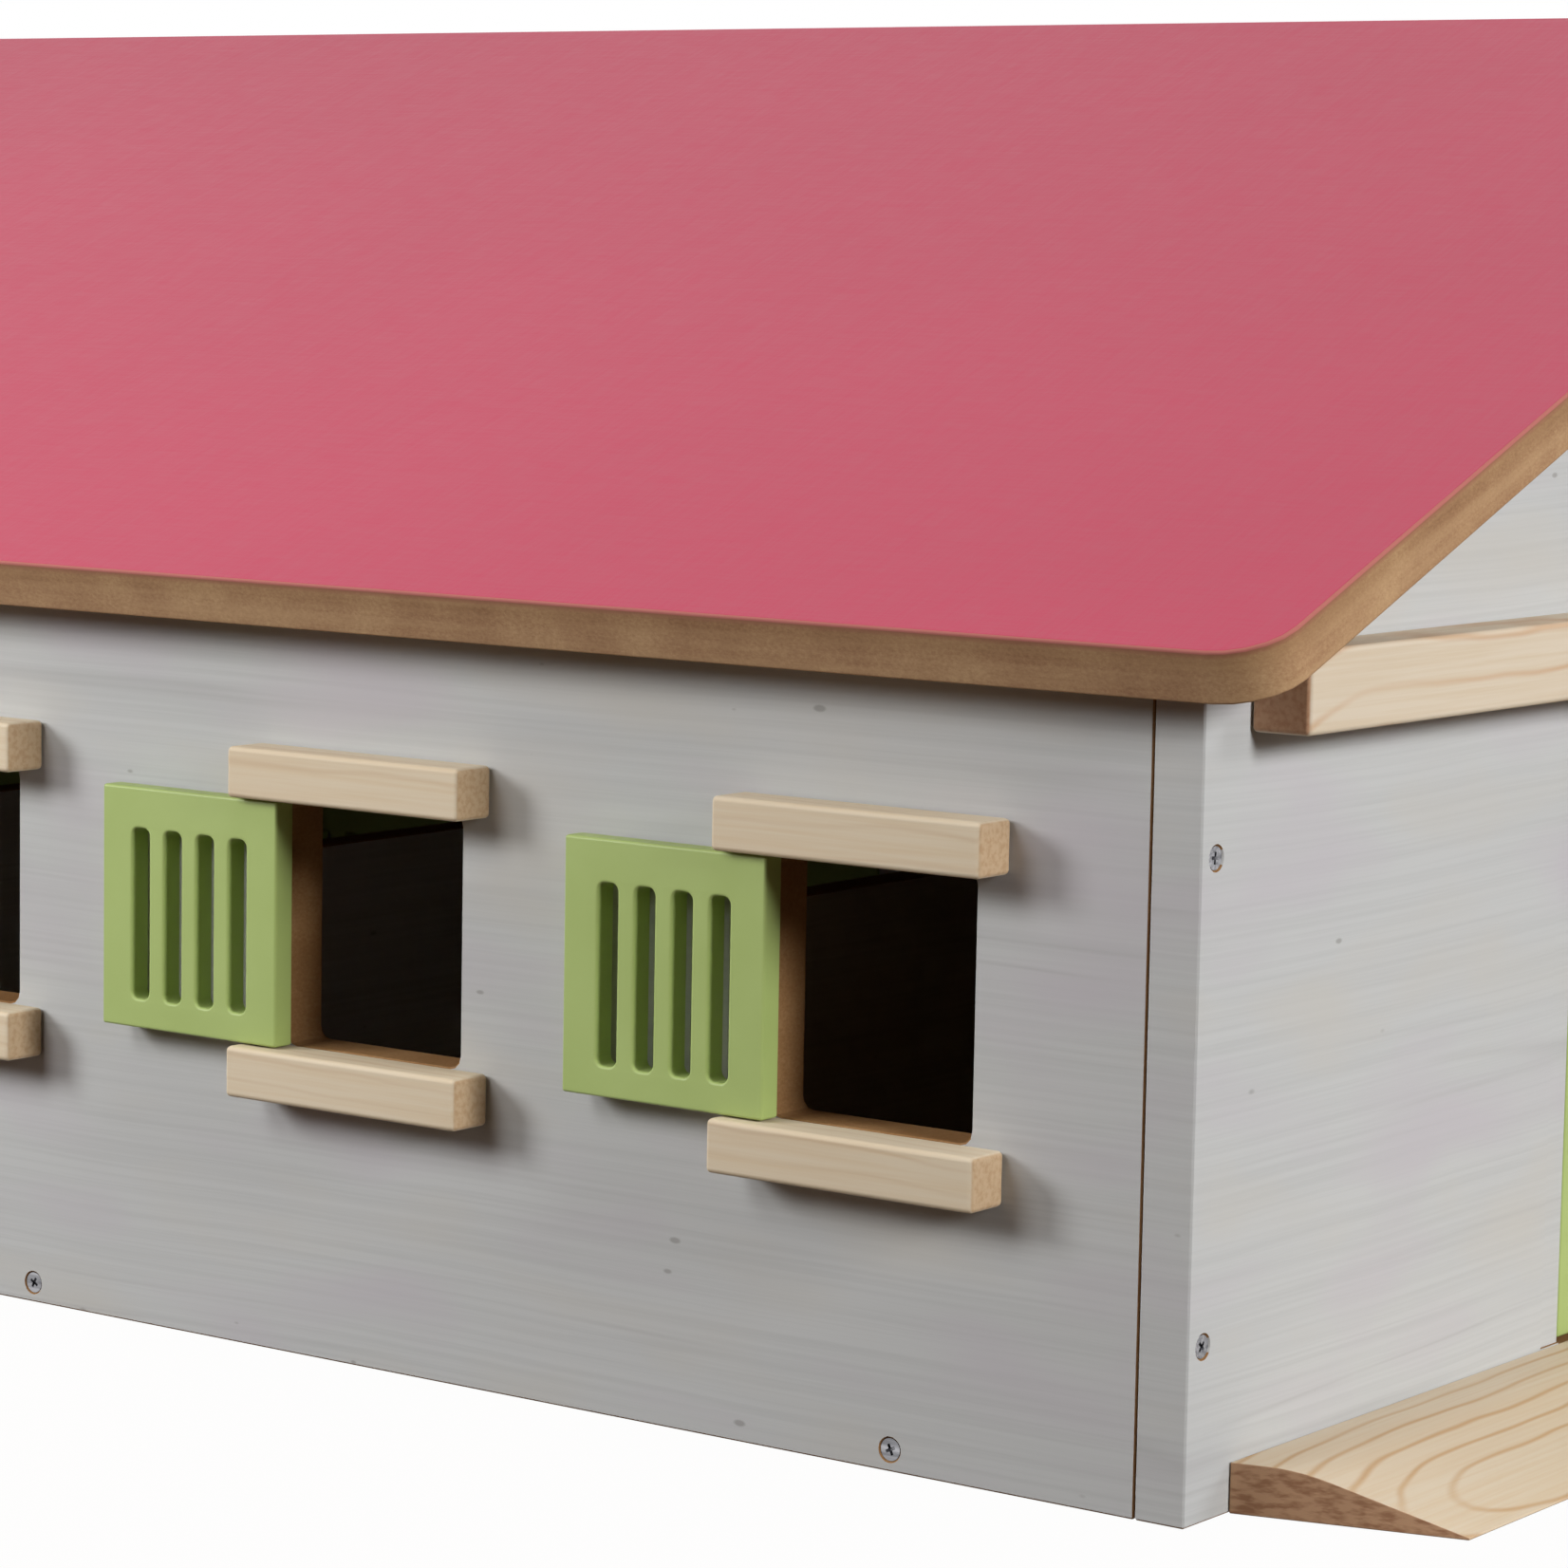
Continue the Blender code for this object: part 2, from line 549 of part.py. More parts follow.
def make_window_sets(frames, stalls_by_side):
    """Over each window a lintel bar, under it a sill bar, and between them a shutter, turned back flat."""
    lintel = make_bar("left_lintel_bar_1", pin_hole_up=False)
    sill = make_bar("left_sill_bar_1", pin_hole_up=True)
    low, high = SHUTTER_RAIL, SHUTTER_HEIGHT - SHUTTER_RAIL
    holes = slots(SHUTTER_WIDTH, SHUTTER_PIN_IN, low, high, SHUTTER_STILE, SHUTTER_SLOT_PITCH, corner_steps=2)
    size = (SHUTTER_WIDTH, SHUTTER_HEIGHT, SHUTTER_BOARD)
    shutter = hinged_board("left_shutter_1", size, SHUTTER_PIN_IN, SHUTTER_GAP, SHUTTER_GAP, holes)
    pin_x, pin_y = shutter_pin()
    for side, frame in frames.items():
        for room in stalls_by_side[side]:
            middle, number = room_middle(room), room_number(side, room)
            for pattern, kind, x, y, z in (
                (lintel, "lintel_bar", 0, 0, WINDOW_HEAD),
                (sill, "sill_bar", 0, 0, WINDOW_SILL),
                (shutter, "shutter", pin_x, pin_y, WINDOW_SILL + SHUTTER_GAP),
            ):
                name = f"{side}_{kind}_{number}"
                piece = pattern if pattern.name == name else copy_of(pattern, name)
                set_on(piece, frame, x=x - HALF_WIDTH, y=middle + y, z=z)


def room_number(side, room):
    """Rooms count from the front on both sides."""
    return room + 1 if side == "left" else ROOMS - room


def leaf_pin_x():
    return AISLE_HALF - LEAF_SIDE_GAP - LEAF_PIN_IN


def make_door_leaves(frames):
    """The doorway's two leaves, hinged at its sides and shut."""
    high = LEAF_HEIGHT - LEAF_RAIL
    low = high - LEAF_SLOT_HEIGHT
    holes = slots(LEAF_WIDTH, LEAF_PIN_IN, low, high, LEAF_STILE, LEAF_SLOT_PITCH)
    size = (LEAF_WIDTH, LEAF_HEIGHT, LEAF_BOARD)
    leaf = hinged_board("left_door_leaf", size, LEAF_PIN_IN, LEAF_FOOT_GAP, LEAF_HEAD_GAP, holes)
    y, z = -HALF_LENGTH + WALL_BOARD / 2, DOORWAY_SILL + LEAF_FOOT_GAP
    set_on(leaf, frames["left"], x=-leaf_pin_x(), y=y, z=z, turn=-math.pi / 2)
    set_on(copy_of(leaf, "right_door_leaf"), frames["left"], x=leaf_pin_x(), y=y, z=z, turn=math.pi / 2)


def trim_under_roof(bm, lift):
    """Cuts off what would reach the roof's two undersides, for a piece whose own zero is at height lift."""
    for sign in (-1, 1):
        normal = Vector((sign * SLOPE.y, 0, SLOPE.x))
        on_plane = Vector((sign * HALF_WIDTH, 0, UNDERSIDE_AT_WALL - SEAT_GAP - lift))
        parts = list(bm.verts) + list(bm.edges) + list(bm.faces)
        cut = bmesh.ops.bisect_plane(bm, geom=parts, plane_co=on_plane, plane_no=normal, clear_outer=True)
        rim = [item for item in cut["geom_cut"] if isinstance(item, bmesh.types.BMEdge)]
        if rim:
            bmesh.ops.holes_fill(bm, edges=rim)
    return bm


def make_beam(frame):
    half = HALF_WIDTH - BEAM_INSET
    outline = rounded_rectangle(-half, 0, half, BEAM_HEIGHT, 0)
    bm = stand(board(outline, thickness=BEAM_DEPTH, ease=PINE_EASE), "XZ")
    beam = make_object("doorway_beam", trim_under_roof(bm, BEAM_BOTTOM))
    return set_on(finish(beam, PINE), frame, y=-HALF_LENGTH - SEAT_GAP - BEAM_DEPTH, z=BEAM_BOTTOM)


def ramp_profile():
    """Y and Z of the ramp's side: a flat landing, a rounded shoulder and a straight slope to a thin nose."""
    crest = Vector((-RAMP_LANDING, RAMP_HEIGHT))
    nose = Vector((-RAMP_DEPTH, RAMP_NOSE))
    start = crest + Vector((RAMP_BLEND, 0))
    end = crest + (nose - crest).normalized() * RAMP_BLEND
    shoulder = []
    for step in range(ARC_STEPS + 1):
        share = step / ARC_STEPS
        shoulder.append(start.lerp(crest, share).lerp(crest.lerp(end, share), share))
    return [(0, 0), (0, RAMP_HEIGHT), *shoulder, nose, (-RAMP_DEPTH, 0)]


def make_ramp(frame):
    half = HALF_WIDTH - BEAM_INSET
    bm = stand(board(ramp_profile(), thickness=2 * half, ease=0), "YZ")
    for corner in shift(bm, x=-half).verts:
        corner.co.x -= math.copysign(RAMP_SKEW * corner.co.y / RAMP_DEPTH, corner.co.x)
    return set_on(finish(make_object("entrance_ramp", bm), PINE), frame, y=-HALF_LENGTH - SEAT_GAP)


def stall_pin_x():
    return -AISLE_HALF - INNER_BOARD / 2


def stall_pin_y(room):
    return room_middle(room) - STALL_DOOR_WIDTH / 2 + STALL_SIDE_GAP + STALL_PIN_IN


def make_aisle_wall(side, stalls, frame):
    """A board from gable to gable with a doorway to every room, drilled for the pins of the stall doors."""
    length, foot = INNER_Y - SEAT_GAP, FLOOR_BOARD + SEAT_GAP
    outline = [(length, foot), (length, AISLE_WALL_HEIGHT), (-length, AISLE_WALL_HEIGHT), (-length, foot)]
    for room in range(ROOMS):
        low = room_middle(room) - STALL_DOOR_WIDTH / 2
        high = low + STALL_DOOR_WIDTH
        outline += [(low, foot), (low, STALL_DOOR_HEAD), (high, STALL_DOOR_HEAD), (high, foot)]
    wall = make_object(side + "_aisle_wall", stand(board(outline, thickness=INNER_BOARD), "YZ"))
    drills = bmesh.new()
    for room in stalls:
        x, y, head = INNER_BOARD / 2, stall_pin_y(room), STALL_DOOR_HEAD
        add_cylinder(drills, (x, y, head - OVERRUN), (x, y, head + PIN_DRILL), PIN_HOLE)
    combine(wall, "DIFFERENCE", drills)
    return set_on(finish(wall, PANEL), frame, x=-AISLE_HALF - INNER_BOARD)


def make_stall_doors(frames, stalls_by_side):
    """A slotted door to each stall, its pins in the floor board and in the aisle wall."""
    high = STALL_LEAF_HEIGHT - STALL_RAIL
    low = high - STALL_SLOT_HEIGHT
    holes = slots(STALL_LEAF_WIDTH, STALL_PIN_IN, low, high, STALL_STILE, STALL_SLOT_PITCH)
    size = (STALL_LEAF_WIDTH, STALL_LEAF_HEIGHT, STALL_DOOR_BOARD)
    gaps = (STALL_FOOT_GAP, STALL_HEAD_GAP)
    door = hinged_board("left_stall_door_1", size, STALL_PIN_IN, *gaps, holes, eased_holes=False)
    for side, frame in frames.items():
        for room in stalls_by_side[side]:
            name = f"{side}_stall_door_{room_number(side, room)}"
            piece = door if door.name == name else copy_of(door, name)
            set_on(piece, frame, x=stall_pin_x(), y=stall_pin_y(room), z=FLOOR_BOARD + STALL_FOOT_GAP)


clear_scene()
PANEL = make_material("white_panel")
ROOF_PINK = make_material("roof_pink")
PINE = make_material("pine")
GREEN = make_material("green")
STEEL = make_material("steel")

sides = make_frames()
stalls = {"left": LEFT_STALLS, "right": RIGHT_STALLS}
make_floor(sides, stalls)
make_front_gable(sides["left"])
make_back_gable(sides["left"])
make_ridge_beam(sides["left"])
make_beam(sides["left"])
make_ramp(sides["left"])
make_door_leaves(sides)
for each_side, each_frame in sides.items():
    make_side_wall(each_side, stalls[each_side], each_frame)
    make_roof_panel(each_side, each_frame)
    make_aisle_wall(each_side, stalls[each_side], each_frame)
make_roof_hinges(sides)
make_window_sets(sides, stalls)
make_stall_doors(sides, stalls)
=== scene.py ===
import json
import math

import bmesh
import bpy
from mathutils import Matrix, Vector

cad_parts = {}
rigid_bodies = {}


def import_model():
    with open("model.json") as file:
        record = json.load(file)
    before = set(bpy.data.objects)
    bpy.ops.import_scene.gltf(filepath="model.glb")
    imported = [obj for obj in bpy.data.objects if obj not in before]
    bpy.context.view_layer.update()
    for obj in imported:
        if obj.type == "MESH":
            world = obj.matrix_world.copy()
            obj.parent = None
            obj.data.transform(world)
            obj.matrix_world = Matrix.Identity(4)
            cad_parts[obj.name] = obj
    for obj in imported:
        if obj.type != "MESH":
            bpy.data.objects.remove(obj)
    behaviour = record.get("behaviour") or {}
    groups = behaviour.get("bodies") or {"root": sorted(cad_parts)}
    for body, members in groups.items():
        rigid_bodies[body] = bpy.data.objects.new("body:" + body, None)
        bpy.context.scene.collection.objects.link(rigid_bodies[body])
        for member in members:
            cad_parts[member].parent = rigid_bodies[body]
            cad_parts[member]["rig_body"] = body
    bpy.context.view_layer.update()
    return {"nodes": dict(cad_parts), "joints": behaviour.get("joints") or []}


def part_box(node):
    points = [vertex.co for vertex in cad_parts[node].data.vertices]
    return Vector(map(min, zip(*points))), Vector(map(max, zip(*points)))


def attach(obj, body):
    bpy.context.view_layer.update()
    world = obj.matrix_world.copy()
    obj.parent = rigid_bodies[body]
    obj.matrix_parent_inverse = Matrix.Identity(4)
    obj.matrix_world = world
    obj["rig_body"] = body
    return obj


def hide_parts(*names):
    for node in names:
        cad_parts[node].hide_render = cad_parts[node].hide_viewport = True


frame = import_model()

# Toy horse stable: its finishes, softened edges and screws, then the light and the camera.
# Lengths are in metres, and a colour of three numbers is written as sRGB out of 255.


def paint(red, green, blue):
    shares = [channel / 255 for channel in (red, green, blue)]
    return [s / 12.92 if s <= 0.04045 else ((s + 0.055) / 1.055) ** 2.4 for s in shares] + [1.0]


def written(colour):
    # three numbers are a colour, and anything else is passed on: a node's output or a share of four numbers
    return paint(*colour) if isinstance(colour, tuple) and len(colour) == 3 else colour


# Small helpers for the materials

def newFinish(name, roughness, specular=0.5, metallic=0.0):
    made = bpy.data.materials.new(name)
    made.use_nodes = True
    tree = made.node_tree
    shader = tree.nodes["Principled BSDF"]
    shader.inputs["Roughness"].default_value = roughness
    shader.inputs["Metallic"].default_value = metallic
    shader.inputs["Specular IOR Level"].default_value = specular
    return made, tree, shader


def addNode(tree, kind, sockets, **settings):
    # sockets: what goes into each input, another node's output or a value
    made = tree.nodes.new("ShaderNode" + kind)
    for name, value in settings.items():
        setattr(made, name, value)
    for slot, value in sockets.items():
        if isinstance(value, bpy.types.NodeSocket):
            tree.links.new(value, made.inputs[slot])
        else:
            made.inputs[slot].default_value = value
    return made


def mathNode(tree, operation, first, second=0.0):
    return addNode(tree, "Math", {0: first, 1: second}, operation=operation).outputs["Value"]


def mixValues(tree, first, second, share):
    # the first value by its share, the second by the rest
    rest = mathNode(tree, "MULTIPLY", second, 1.0 - share)
    return mathNode(tree, "ADD", mathNode(tree, "MULTIPLY", first, share), rest)


def colourRamp(tree, factor, places, colours):
    made = addNode(tree, "ValToRGB", {"Fac": factor})
    points = made.color_ramp.elements
    while len(points) < len(places):
        points.new(0.5)
    for point, place, colour in zip(points, places, colours):
        point.position = place
        point.color = written(colour)
    return made.outputs["Color"]


def valueRamp(tree, factor, low, high, lowValue=0.0, highValue=1.0):
    sockets = {"Value": factor, "From Min": low, "From Max": high, "To Min": lowValue, "To Max": highValue}
    return addNode(tree, "MapRange", sockets, clamp=True).outputs["Result"]


def placed(tree, turn=(0, 0, 0), offset=(0, 0, 0)):
    # object coordinates, turned by degrees and then moved
    start = addNode(tree, "TexCoord", {}).outputs["Object"]
    sockets = {"Vector": start, "Location": offset, "Rotation": [math.radians(a) for a in turn]}
    return addNode(tree, "Mapping", sockets).outputs["Vector"]


def noise(tree, vector, scale, detail=4.0, roughness=0.55):
    # scale: marks in a metre, or three numbers where they differ along X, Y and Z
    if isinstance(scale, tuple):
        vector = addNode(tree, "VectorMath", {0: vector, 1: scale}, operation="MULTIPLY").outputs["Vector"]
        scale = 1.0
    sockets = {"Vector": vector, "Scale": scale, "Detail": detail, "Roughness": roughness}
    return addNode(tree, "TexNoise", sockets).outputs["Fac"]


def blendColours(tree, factor, first, second, how="MIX"):
    # inputs 6 and 7 are the Mix node's two colours, and output 2 is its colour
    sockets = {0: factor, 6: written(first), 7: written(second)}
    return addNode(tree, "Mix", sockets, data_type="RGBA", blend_type=how).outputs[2]


def addBumps(tree, shader, *layers):
    # each layer is a height socket, a strength and a distance
    normal = None
    for height, strength, distance in layers:
        sockets = {"Height": height, "Strength": strength, "Distance": distance}
        if normal:
            sockets["Normal"] = normal
        normal = addNode(tree, "Bump", sockets).outputs["Normal"]
    tree.links.new(normal, shader.inputs["Normal"])


def facing(tree, direction):
    # how far a face looks in that direction, 1 at most
    side = addNode(tree, "TexCoord", {}).outputs["Normal"]
    return addNode(tree, "VectorMath", {0: side, 1: direction}, operation="DOT_PRODUCT").outputs["Value"]


# Raw brown fibreboard: the roof boards' edges, and a redder one in the walls

rawBoard = {
    "colours": ((140, 104, 76), (163, 128, 95), (186, 154, 116)), "places": (0.34, 0.50, 0.66),
    "fibre": (900, 900, 1440), "blotch": 45.0, "fibreShare": 0.45,
}
wallCore = {**rawBoard, "colours": ((132, 96, 61), (145, 109, 72), (160, 125, 87))}


def rawBoardColour(tree, values):
    vector = placed(tree)
    fibre = noise(tree, vector, values["fibre"], 3.0, 0.7)
    blotch = noise(tree, vector, values["blotch"], 4.0, 0.6)
    mixed = mixValues(tree, fibre, blotch, values["fibreShare"])
    return colourRamp(tree, mixed, values["places"], values["colours"])


# White-washed wood decor: pale, with thin broken lines along the board, faint tints and a few dark specks

whiteWash = {
    "roughness": 0.60, "specular": 0.08,
    "pale": (192, 194, 194), "shade": (185, 187, 187), "fibre": (7, 7, 900), "fibrePlaces": (0.34, 0.62),
    "waves": (5, 5, 5), "bend": 0.006, "press": (900, 900, 130),
    "tints": (14, 14, 34), "lilac": (188, 184, 190), "lilacTints": (0.52, 0.72, 0.0, 0.7),
    "cream": (192, 190, 184), "creamTints": (0.48, 0.30, 0.0, 0.6),
    "line": (164, 164, 164), "bands": (1.4, 1.4, 62), "lineEvery": 4.0, "lineWidth": 0.07, "lineShare": 0.34,
    "breaks": (10, 10, 90), "breakRange": (0.48, 0.68),
    "speck": (138, 136, 133), "speckCells": (55, 55, 120), "speckSize": 0.110, "speckFrom": 0.55,
    "speckEdge": (-0.01, 0.03, 0.0, 0.6),
    "facingOver": 0.6, "slopeUnder": 0.4, "pressBump": (0.10, 0.0001), "fibreBump": (0.08, 0.0001),
}


def decorLines(tree, bent, values):
    # how strongly a line shows: level curves of slow bands, broken along their length
    bands = noise(tree, bent, values["bands"], 1.0, 0.4)
    breaks = noise(tree, bent, values["breaks"], 2.0, 0.5)
    level = mathNode(tree, "FRACT", mathNode(tree, "MULTIPLY", bands, values["lineEvery"]))
    apart = mathNode(tree, "ABSOLUTE", mathNode(tree, "SUBTRACT", level, 0.5))
    thin = valueRamp(tree, apart, 0.0, values["lineWidth"], values["lineShare"], 0.0)
    return mathNode(tree, "MULTIPLY", thin, valueRamp(tree, breaks, *values["breakRange"]))


def decorSpecks(tree, bent, values):
    # a speck in the middle of some cells, each of its own size
    stretched = addNode(tree, "VectorMath", {0: bent, 1: values["speckCells"]}, operation="MULTIPLY").outputs
    cells = addNode(tree, "TexVoronoi", {"Vector": stretched["Vector"], "Scale": 1.0}).outputs
    chosen = addNode(tree, "SeparateColor", {"Color": cells["Color"]}).outputs["Red"]
    size = mathNode(tree, "MULTIPLY", valueRamp(tree, chosen, values["speckFrom"], 1.0), values["speckSize"])
    return valueRamp(tree, mathNode(tree, "SUBTRACT", size, cells["Distance"]), *values["speckEdge"])


def decorCover(tree, faces, ends, values):
    # 1 where the decor lies: on upright faces that look the given ways, away from the sawn ends
    covered = facing(tree, faces[0])
    for direction in faces[1:]:
        covered = mathNode(tree, "MAXIMUM", covered, facing(tree, direction))
    covered = mathNode(tree, "GREATER_THAN", covered, values["facingOver"])
    slope = mathNode(tree, "ABSOLUTE", facing(tree, (0, 0, 1)))
    covered = mathNode(tree, "MULTIPLY", covered, mathNode(tree, "LESS_THAN", slope, values["slopeUnder"]))
    if ends:
        y = addNode(tree, "SeparateXYZ", {"Vector": placed(tree)}).outputs["Y"]
        middle, half = (ends[0] + ends[1]) / 2, (ends[1] - ends[0]) / 2
        away = mathNode(tree, "ABSOLUTE", mathNode(tree, "SUBTRACT", y, middle))
        covered = mathNode(tree, "MULTIPLY", covered, mathNode(tree, "LESS_THAN", away, half))
    return covered


def makeWhiteWash(name, grainTurn, faces, ends=None, values=whiteWash):
    # grainTurn: degrees about Z that bring the board's length onto X
    # faces: the directions that carry the decor
    # ends: the board's reach along Y, where its sawn ends are bare
    made, tree, shader = newFinish(name, values["roughness"], values["specular"])
    along = placed(tree, turn=(0, 0, grainTurn))
    wave = noise(tree, along, values["waves"], 2.0)
    bend = mathNode(tree, "MULTIPLY", wave, values["bend"])
    rise = addNode(tree, "CombineXYZ", {"Z": bend}).outputs["Vector"]
    bent = addNode(tree, "VectorMath", {0: along, 1: rise}, operation="ADD").outputs["Vector"]
    fibre = noise(tree, bent, values["fibre"], 3.0, 0.6)
    tints = noise(tree, along, values["tints"], 2.0, 0.5)
    press = noise(tree, along, values["press"], 1.0)
    base = colourRamp(tree, fibre, values["fibrePlaces"], (values["shade"], values["pale"]))
    cool = blendColours(tree, valueRamp(tree, tints, *values["lilacTints"]), base, values["lilac"])
    warm = blendColours(tree, valueRamp(tree, tints, *values["creamTints"]), cool, values["cream"])
    lined = blendColours(tree, decorLines(tree, bent, values), warm, values["line"])
    decor = blendColours(tree, decorSpecks(tree, bent, values), lined, values["speck"])
    covered = decorCover(tree, faces, ends, values)
    colour = blendColours(tree, covered, rawBoardColour(tree, wallCore), decor)
    tree.links.new(colour, shader.inputs["Base Color"])
    addBumps(tree, shader, (press, *values["pressBump"]), (fibre, *values["fibreBump"]))
    return made


# Bare pine: growth rings round a pith under the board, closing where the trunk tapers

pine = {
    "roughness": 0.62, "specular": 0.20, "sway": (14, 40, 40), "fibre": (16, 800, 800), "cloud": (9, 60, 60),
    "fibrePlaces": (0.34, 0.60), "warmClouds": (0.50, 0.75, 0.0, 0.6), "lineClouds": (0.32, 0.62, 0.30, 1.0),
    "innerFade": 0.7, "endFacing": (0.60, 0.85), "endPlaces": (0.35, 0.58),
    "fibreBump": (0.12, 0.0002), "lineBump": (0.06, 0.0001),
    "pineBeam": {
        "turn": 0, "pith": (0.300, 0.362, -0.149), "lean": 0.47, "reach": (0.6, 1.0), "perMetre": 110.0,
        "phase": -0.2, "pale": (212, 199, 179), "warm": (207, 191, 167), "late": (192, 152, 114),
        "wobble": 1.2, "inner": 0.006, "lineShare": 0.72, "lineWidth": 0.13,
        "end": (202, 162, 130), "endLate": (188, 144, 112), "ends": (900, 700, 700),
    },
    "pineRamp": {
        "turn": 0, "pith": (0.272, 0.391, 0.0), "lean": 0.32, "reach": (1.0, 0.25), "perMetre": 151.0,
        "phase": -1.1, "pale": (211, 196, 173), "warm": (208, 188, 160), "late": (186, 147, 102),
        "wobble": 1.2, "inner": 0.0065, "lineShare": 0.76, "lineWidth": 0.16,
        "end": (186, 148, 116), "endLate": (152, 112, 84), "ends": (900, 10, 800),
    },
    "pineAlong": {
        "turn": 90, "pith": (0.10, 0.335, -0.112), "lean": 0.10, "reach": (1.0, 1.0), "perMetre": 210.0,
        "phase": -0.9, "pale": (214, 200, 176), "warm": (210, 192, 164), "late": (184, 150, 112),
        "wobble": 1.4, "inner": 0.001, "lineShare": 0.30, "lineWidth": 0.14,
        "end": (196, 170, 138), "endLate": (184, 154, 120), "ends": (900, 700, 700),
    },
}


def pineRings(tree, turned, own, values):
    # how strongly the dark late wood of a ring shows, and the distance from the pith
    sway = noise(tree, turned, values["sway"], 2.0, 0.5)
    place = addNode(tree, "SeparateXYZ", {"Vector": turned}).outputs
    parts = addNode(tree, "CombineXYZ", {
        "X": mathNode(tree, "MULTIPLY", mathNode(tree, "MINIMUM", place["X"], 0.0), own["lean"]),
        "Y": mathNode(tree, "MULTIPLY", place["Y"], own["reach"][0]),
        "Z": mathNode(tree, "MULTIPLY", place["Z"], own["reach"][1]),
    }).outputs["Vector"]
    distance = addNode(tree, "VectorMath", {0: parts}, operation="LENGTH").outputs["Value"]
    swayed = mathNode(tree, "ADD", mathNode(tree, "MULTIPLY", sway, own["wobble"]), own["phase"])
    count = mathNode(tree, "ADD", mathNode(tree, "MULTIPLY", distance, own["perMetre"]), swayed)
    late = addNode(tree, "MapRange", {
        "Value": mathNode(tree, "PINGPONG", count, 0.5),
        "From Min": 0.0, "From Max": own["lineWidth"], "To Min": own["lineShare"], "To Max": 0.0,
    }, interpolation_type="SMOOTHSTEP").outputs["Result"]
    return late, distance


def makePine(name, values=pine):
    # turn: degrees about Z that bring the grain onto X. pith: what brings the trunk's middle to the origin.
    # lean: how fast the rings close where the trunk tapers. reach: how far Y and Z count in a ring's size.
    # phase: where the first ring starts. inner: how far from the pith the first ring shows.
    # end, endLate: the sawn end's two colours, and ends is the spacing of its marks
    own = values[name]
    made, tree, shader = newFinish(name, values["roughness"], values["specular"])
    turned = placed(tree, turn=(0, 0, own["turn"]), offset=own["pith"])
    late, distance = pineRings(tree, turned, own, values)
    fibre = noise(tree, turned, values["fibre"], 3.0, 0.6)
    cloud = noise(tree, turned, values["cloud"], 2.0, 0.5)
    shown = valueRamp(tree, distance, own["inner"] * values["innerFade"], own["inner"])
    strength = mathNode(tree, "MULTIPLY", valueRamp(tree, cloud, *values["lineClouds"]), shown)
    base = colourRamp(tree, fibre, values["fibrePlaces"], (own["warm"], own["pale"]))
    toned = blendColours(tree, valueRamp(tree, cloud, *values["warmClouds"]), base, own["warm"])
    grain = blendColours(tree, mathNode(tree, "MULTIPLY", late, strength), toned, own["late"])
    lengthwise = Matrix.Rotation(math.radians(-own["turn"]), 3, "Z") @ Vector((1, 0, 0))
    across = mathNode(tree, "ABSOLUTE", facing(tree, lengthwise))
    pores = noise(tree, turned, own["ends"], 2.0, 0.6)
    cut = colourRamp(tree, pores, values["endPlaces"], (own["endLate"], own["end"]))
    colour = blendColours(tree, valueRamp(tree, across, *values["endFacing"]), grain, cut)
    tree.links.new(colour, shader.inputs["Base Color"])
    addBumps(tree, shader, (fibre, *values["fibreBump"]), (late, *values["lineBump"]))
    return made


# Green satin lacquer on board

greenLacquer = {
    "roughness": 0.45, "specular": 0.3, "green": (165, 184, 113), "deep": (160, 179, 107),
    "cloud": 30.0, "cloudPlaces": (0.35, 0.65), "peel": 420.0, "peelBump": (0.10, 0.0004),
    "gloss": 160.0, "glossRange": (0.3, 0.7, 0.38, 0.52),
}


def makeGreenLacquer(values=greenLacquer):
    made, tree, shader = newFinish("greenLacquer", values["roughness"], values["specular"])
    vector = placed(tree)
    cloud = noise(tree, vector, values["cloud"], 3.0)
    peel = noise(tree, vector, values["peel"], 2.0)
    colour = colourRamp(tree, cloud, values["cloudPlaces"], (values["deep"], values["green"]))
    tree.links.new(colour, shader.inputs["Base Color"])
    rough = valueRamp(tree, noise(tree, vector, values["gloss"], 2.0), *values["glossRange"])
    tree.links.new(rough, shader.inputs["Roughness"])
    addBumps(tree, shader, (peel, *values["peelBump"]))
    return made


# Pink laminate on the roof boards, with a fine cloth texture, over raw board whose edges are sanded round

pinkLaminate = {
    "roughness": 0.40, "specular": 0.27,
    "pink": (179, 57, 84), "dull": (174, 55, 81), "pinkPlaces": (0.38, 0.62),
    "warp": (75, 1500, 1500), "weft": (1500, 75, 1500), "cloud": 9.0, "threadShare": 0.6,
    "rim": (174, 106, 98), "rimDepth": 0.00008, "glue": (146, 98, 78), "glueDepth": 0.0008,
    # upper: a painted shade that darkens the top of the bare edge, fading out over upperReach of the board's
    # thickness
    "boardDepth": 0.0020, "board": 0.012, "upper": (0.84, 0.80, 0.76, 1), "upperReach": (0.25, 0.6),
    "lowerReach": (0.94, 0.99), "even": (163, 128, 95), "evenShare": 0.7,
    "streaks": (14, 14, 420), "streakRange": (0.35, 0.70, 0.0, 0.5), "streak": (186, 154, 116),
    "threadBump": (0.08, 0.0001), "threadGloss": (0.3, 0.7, 0.36, 0.48), "bareRougher": 0.4,
}


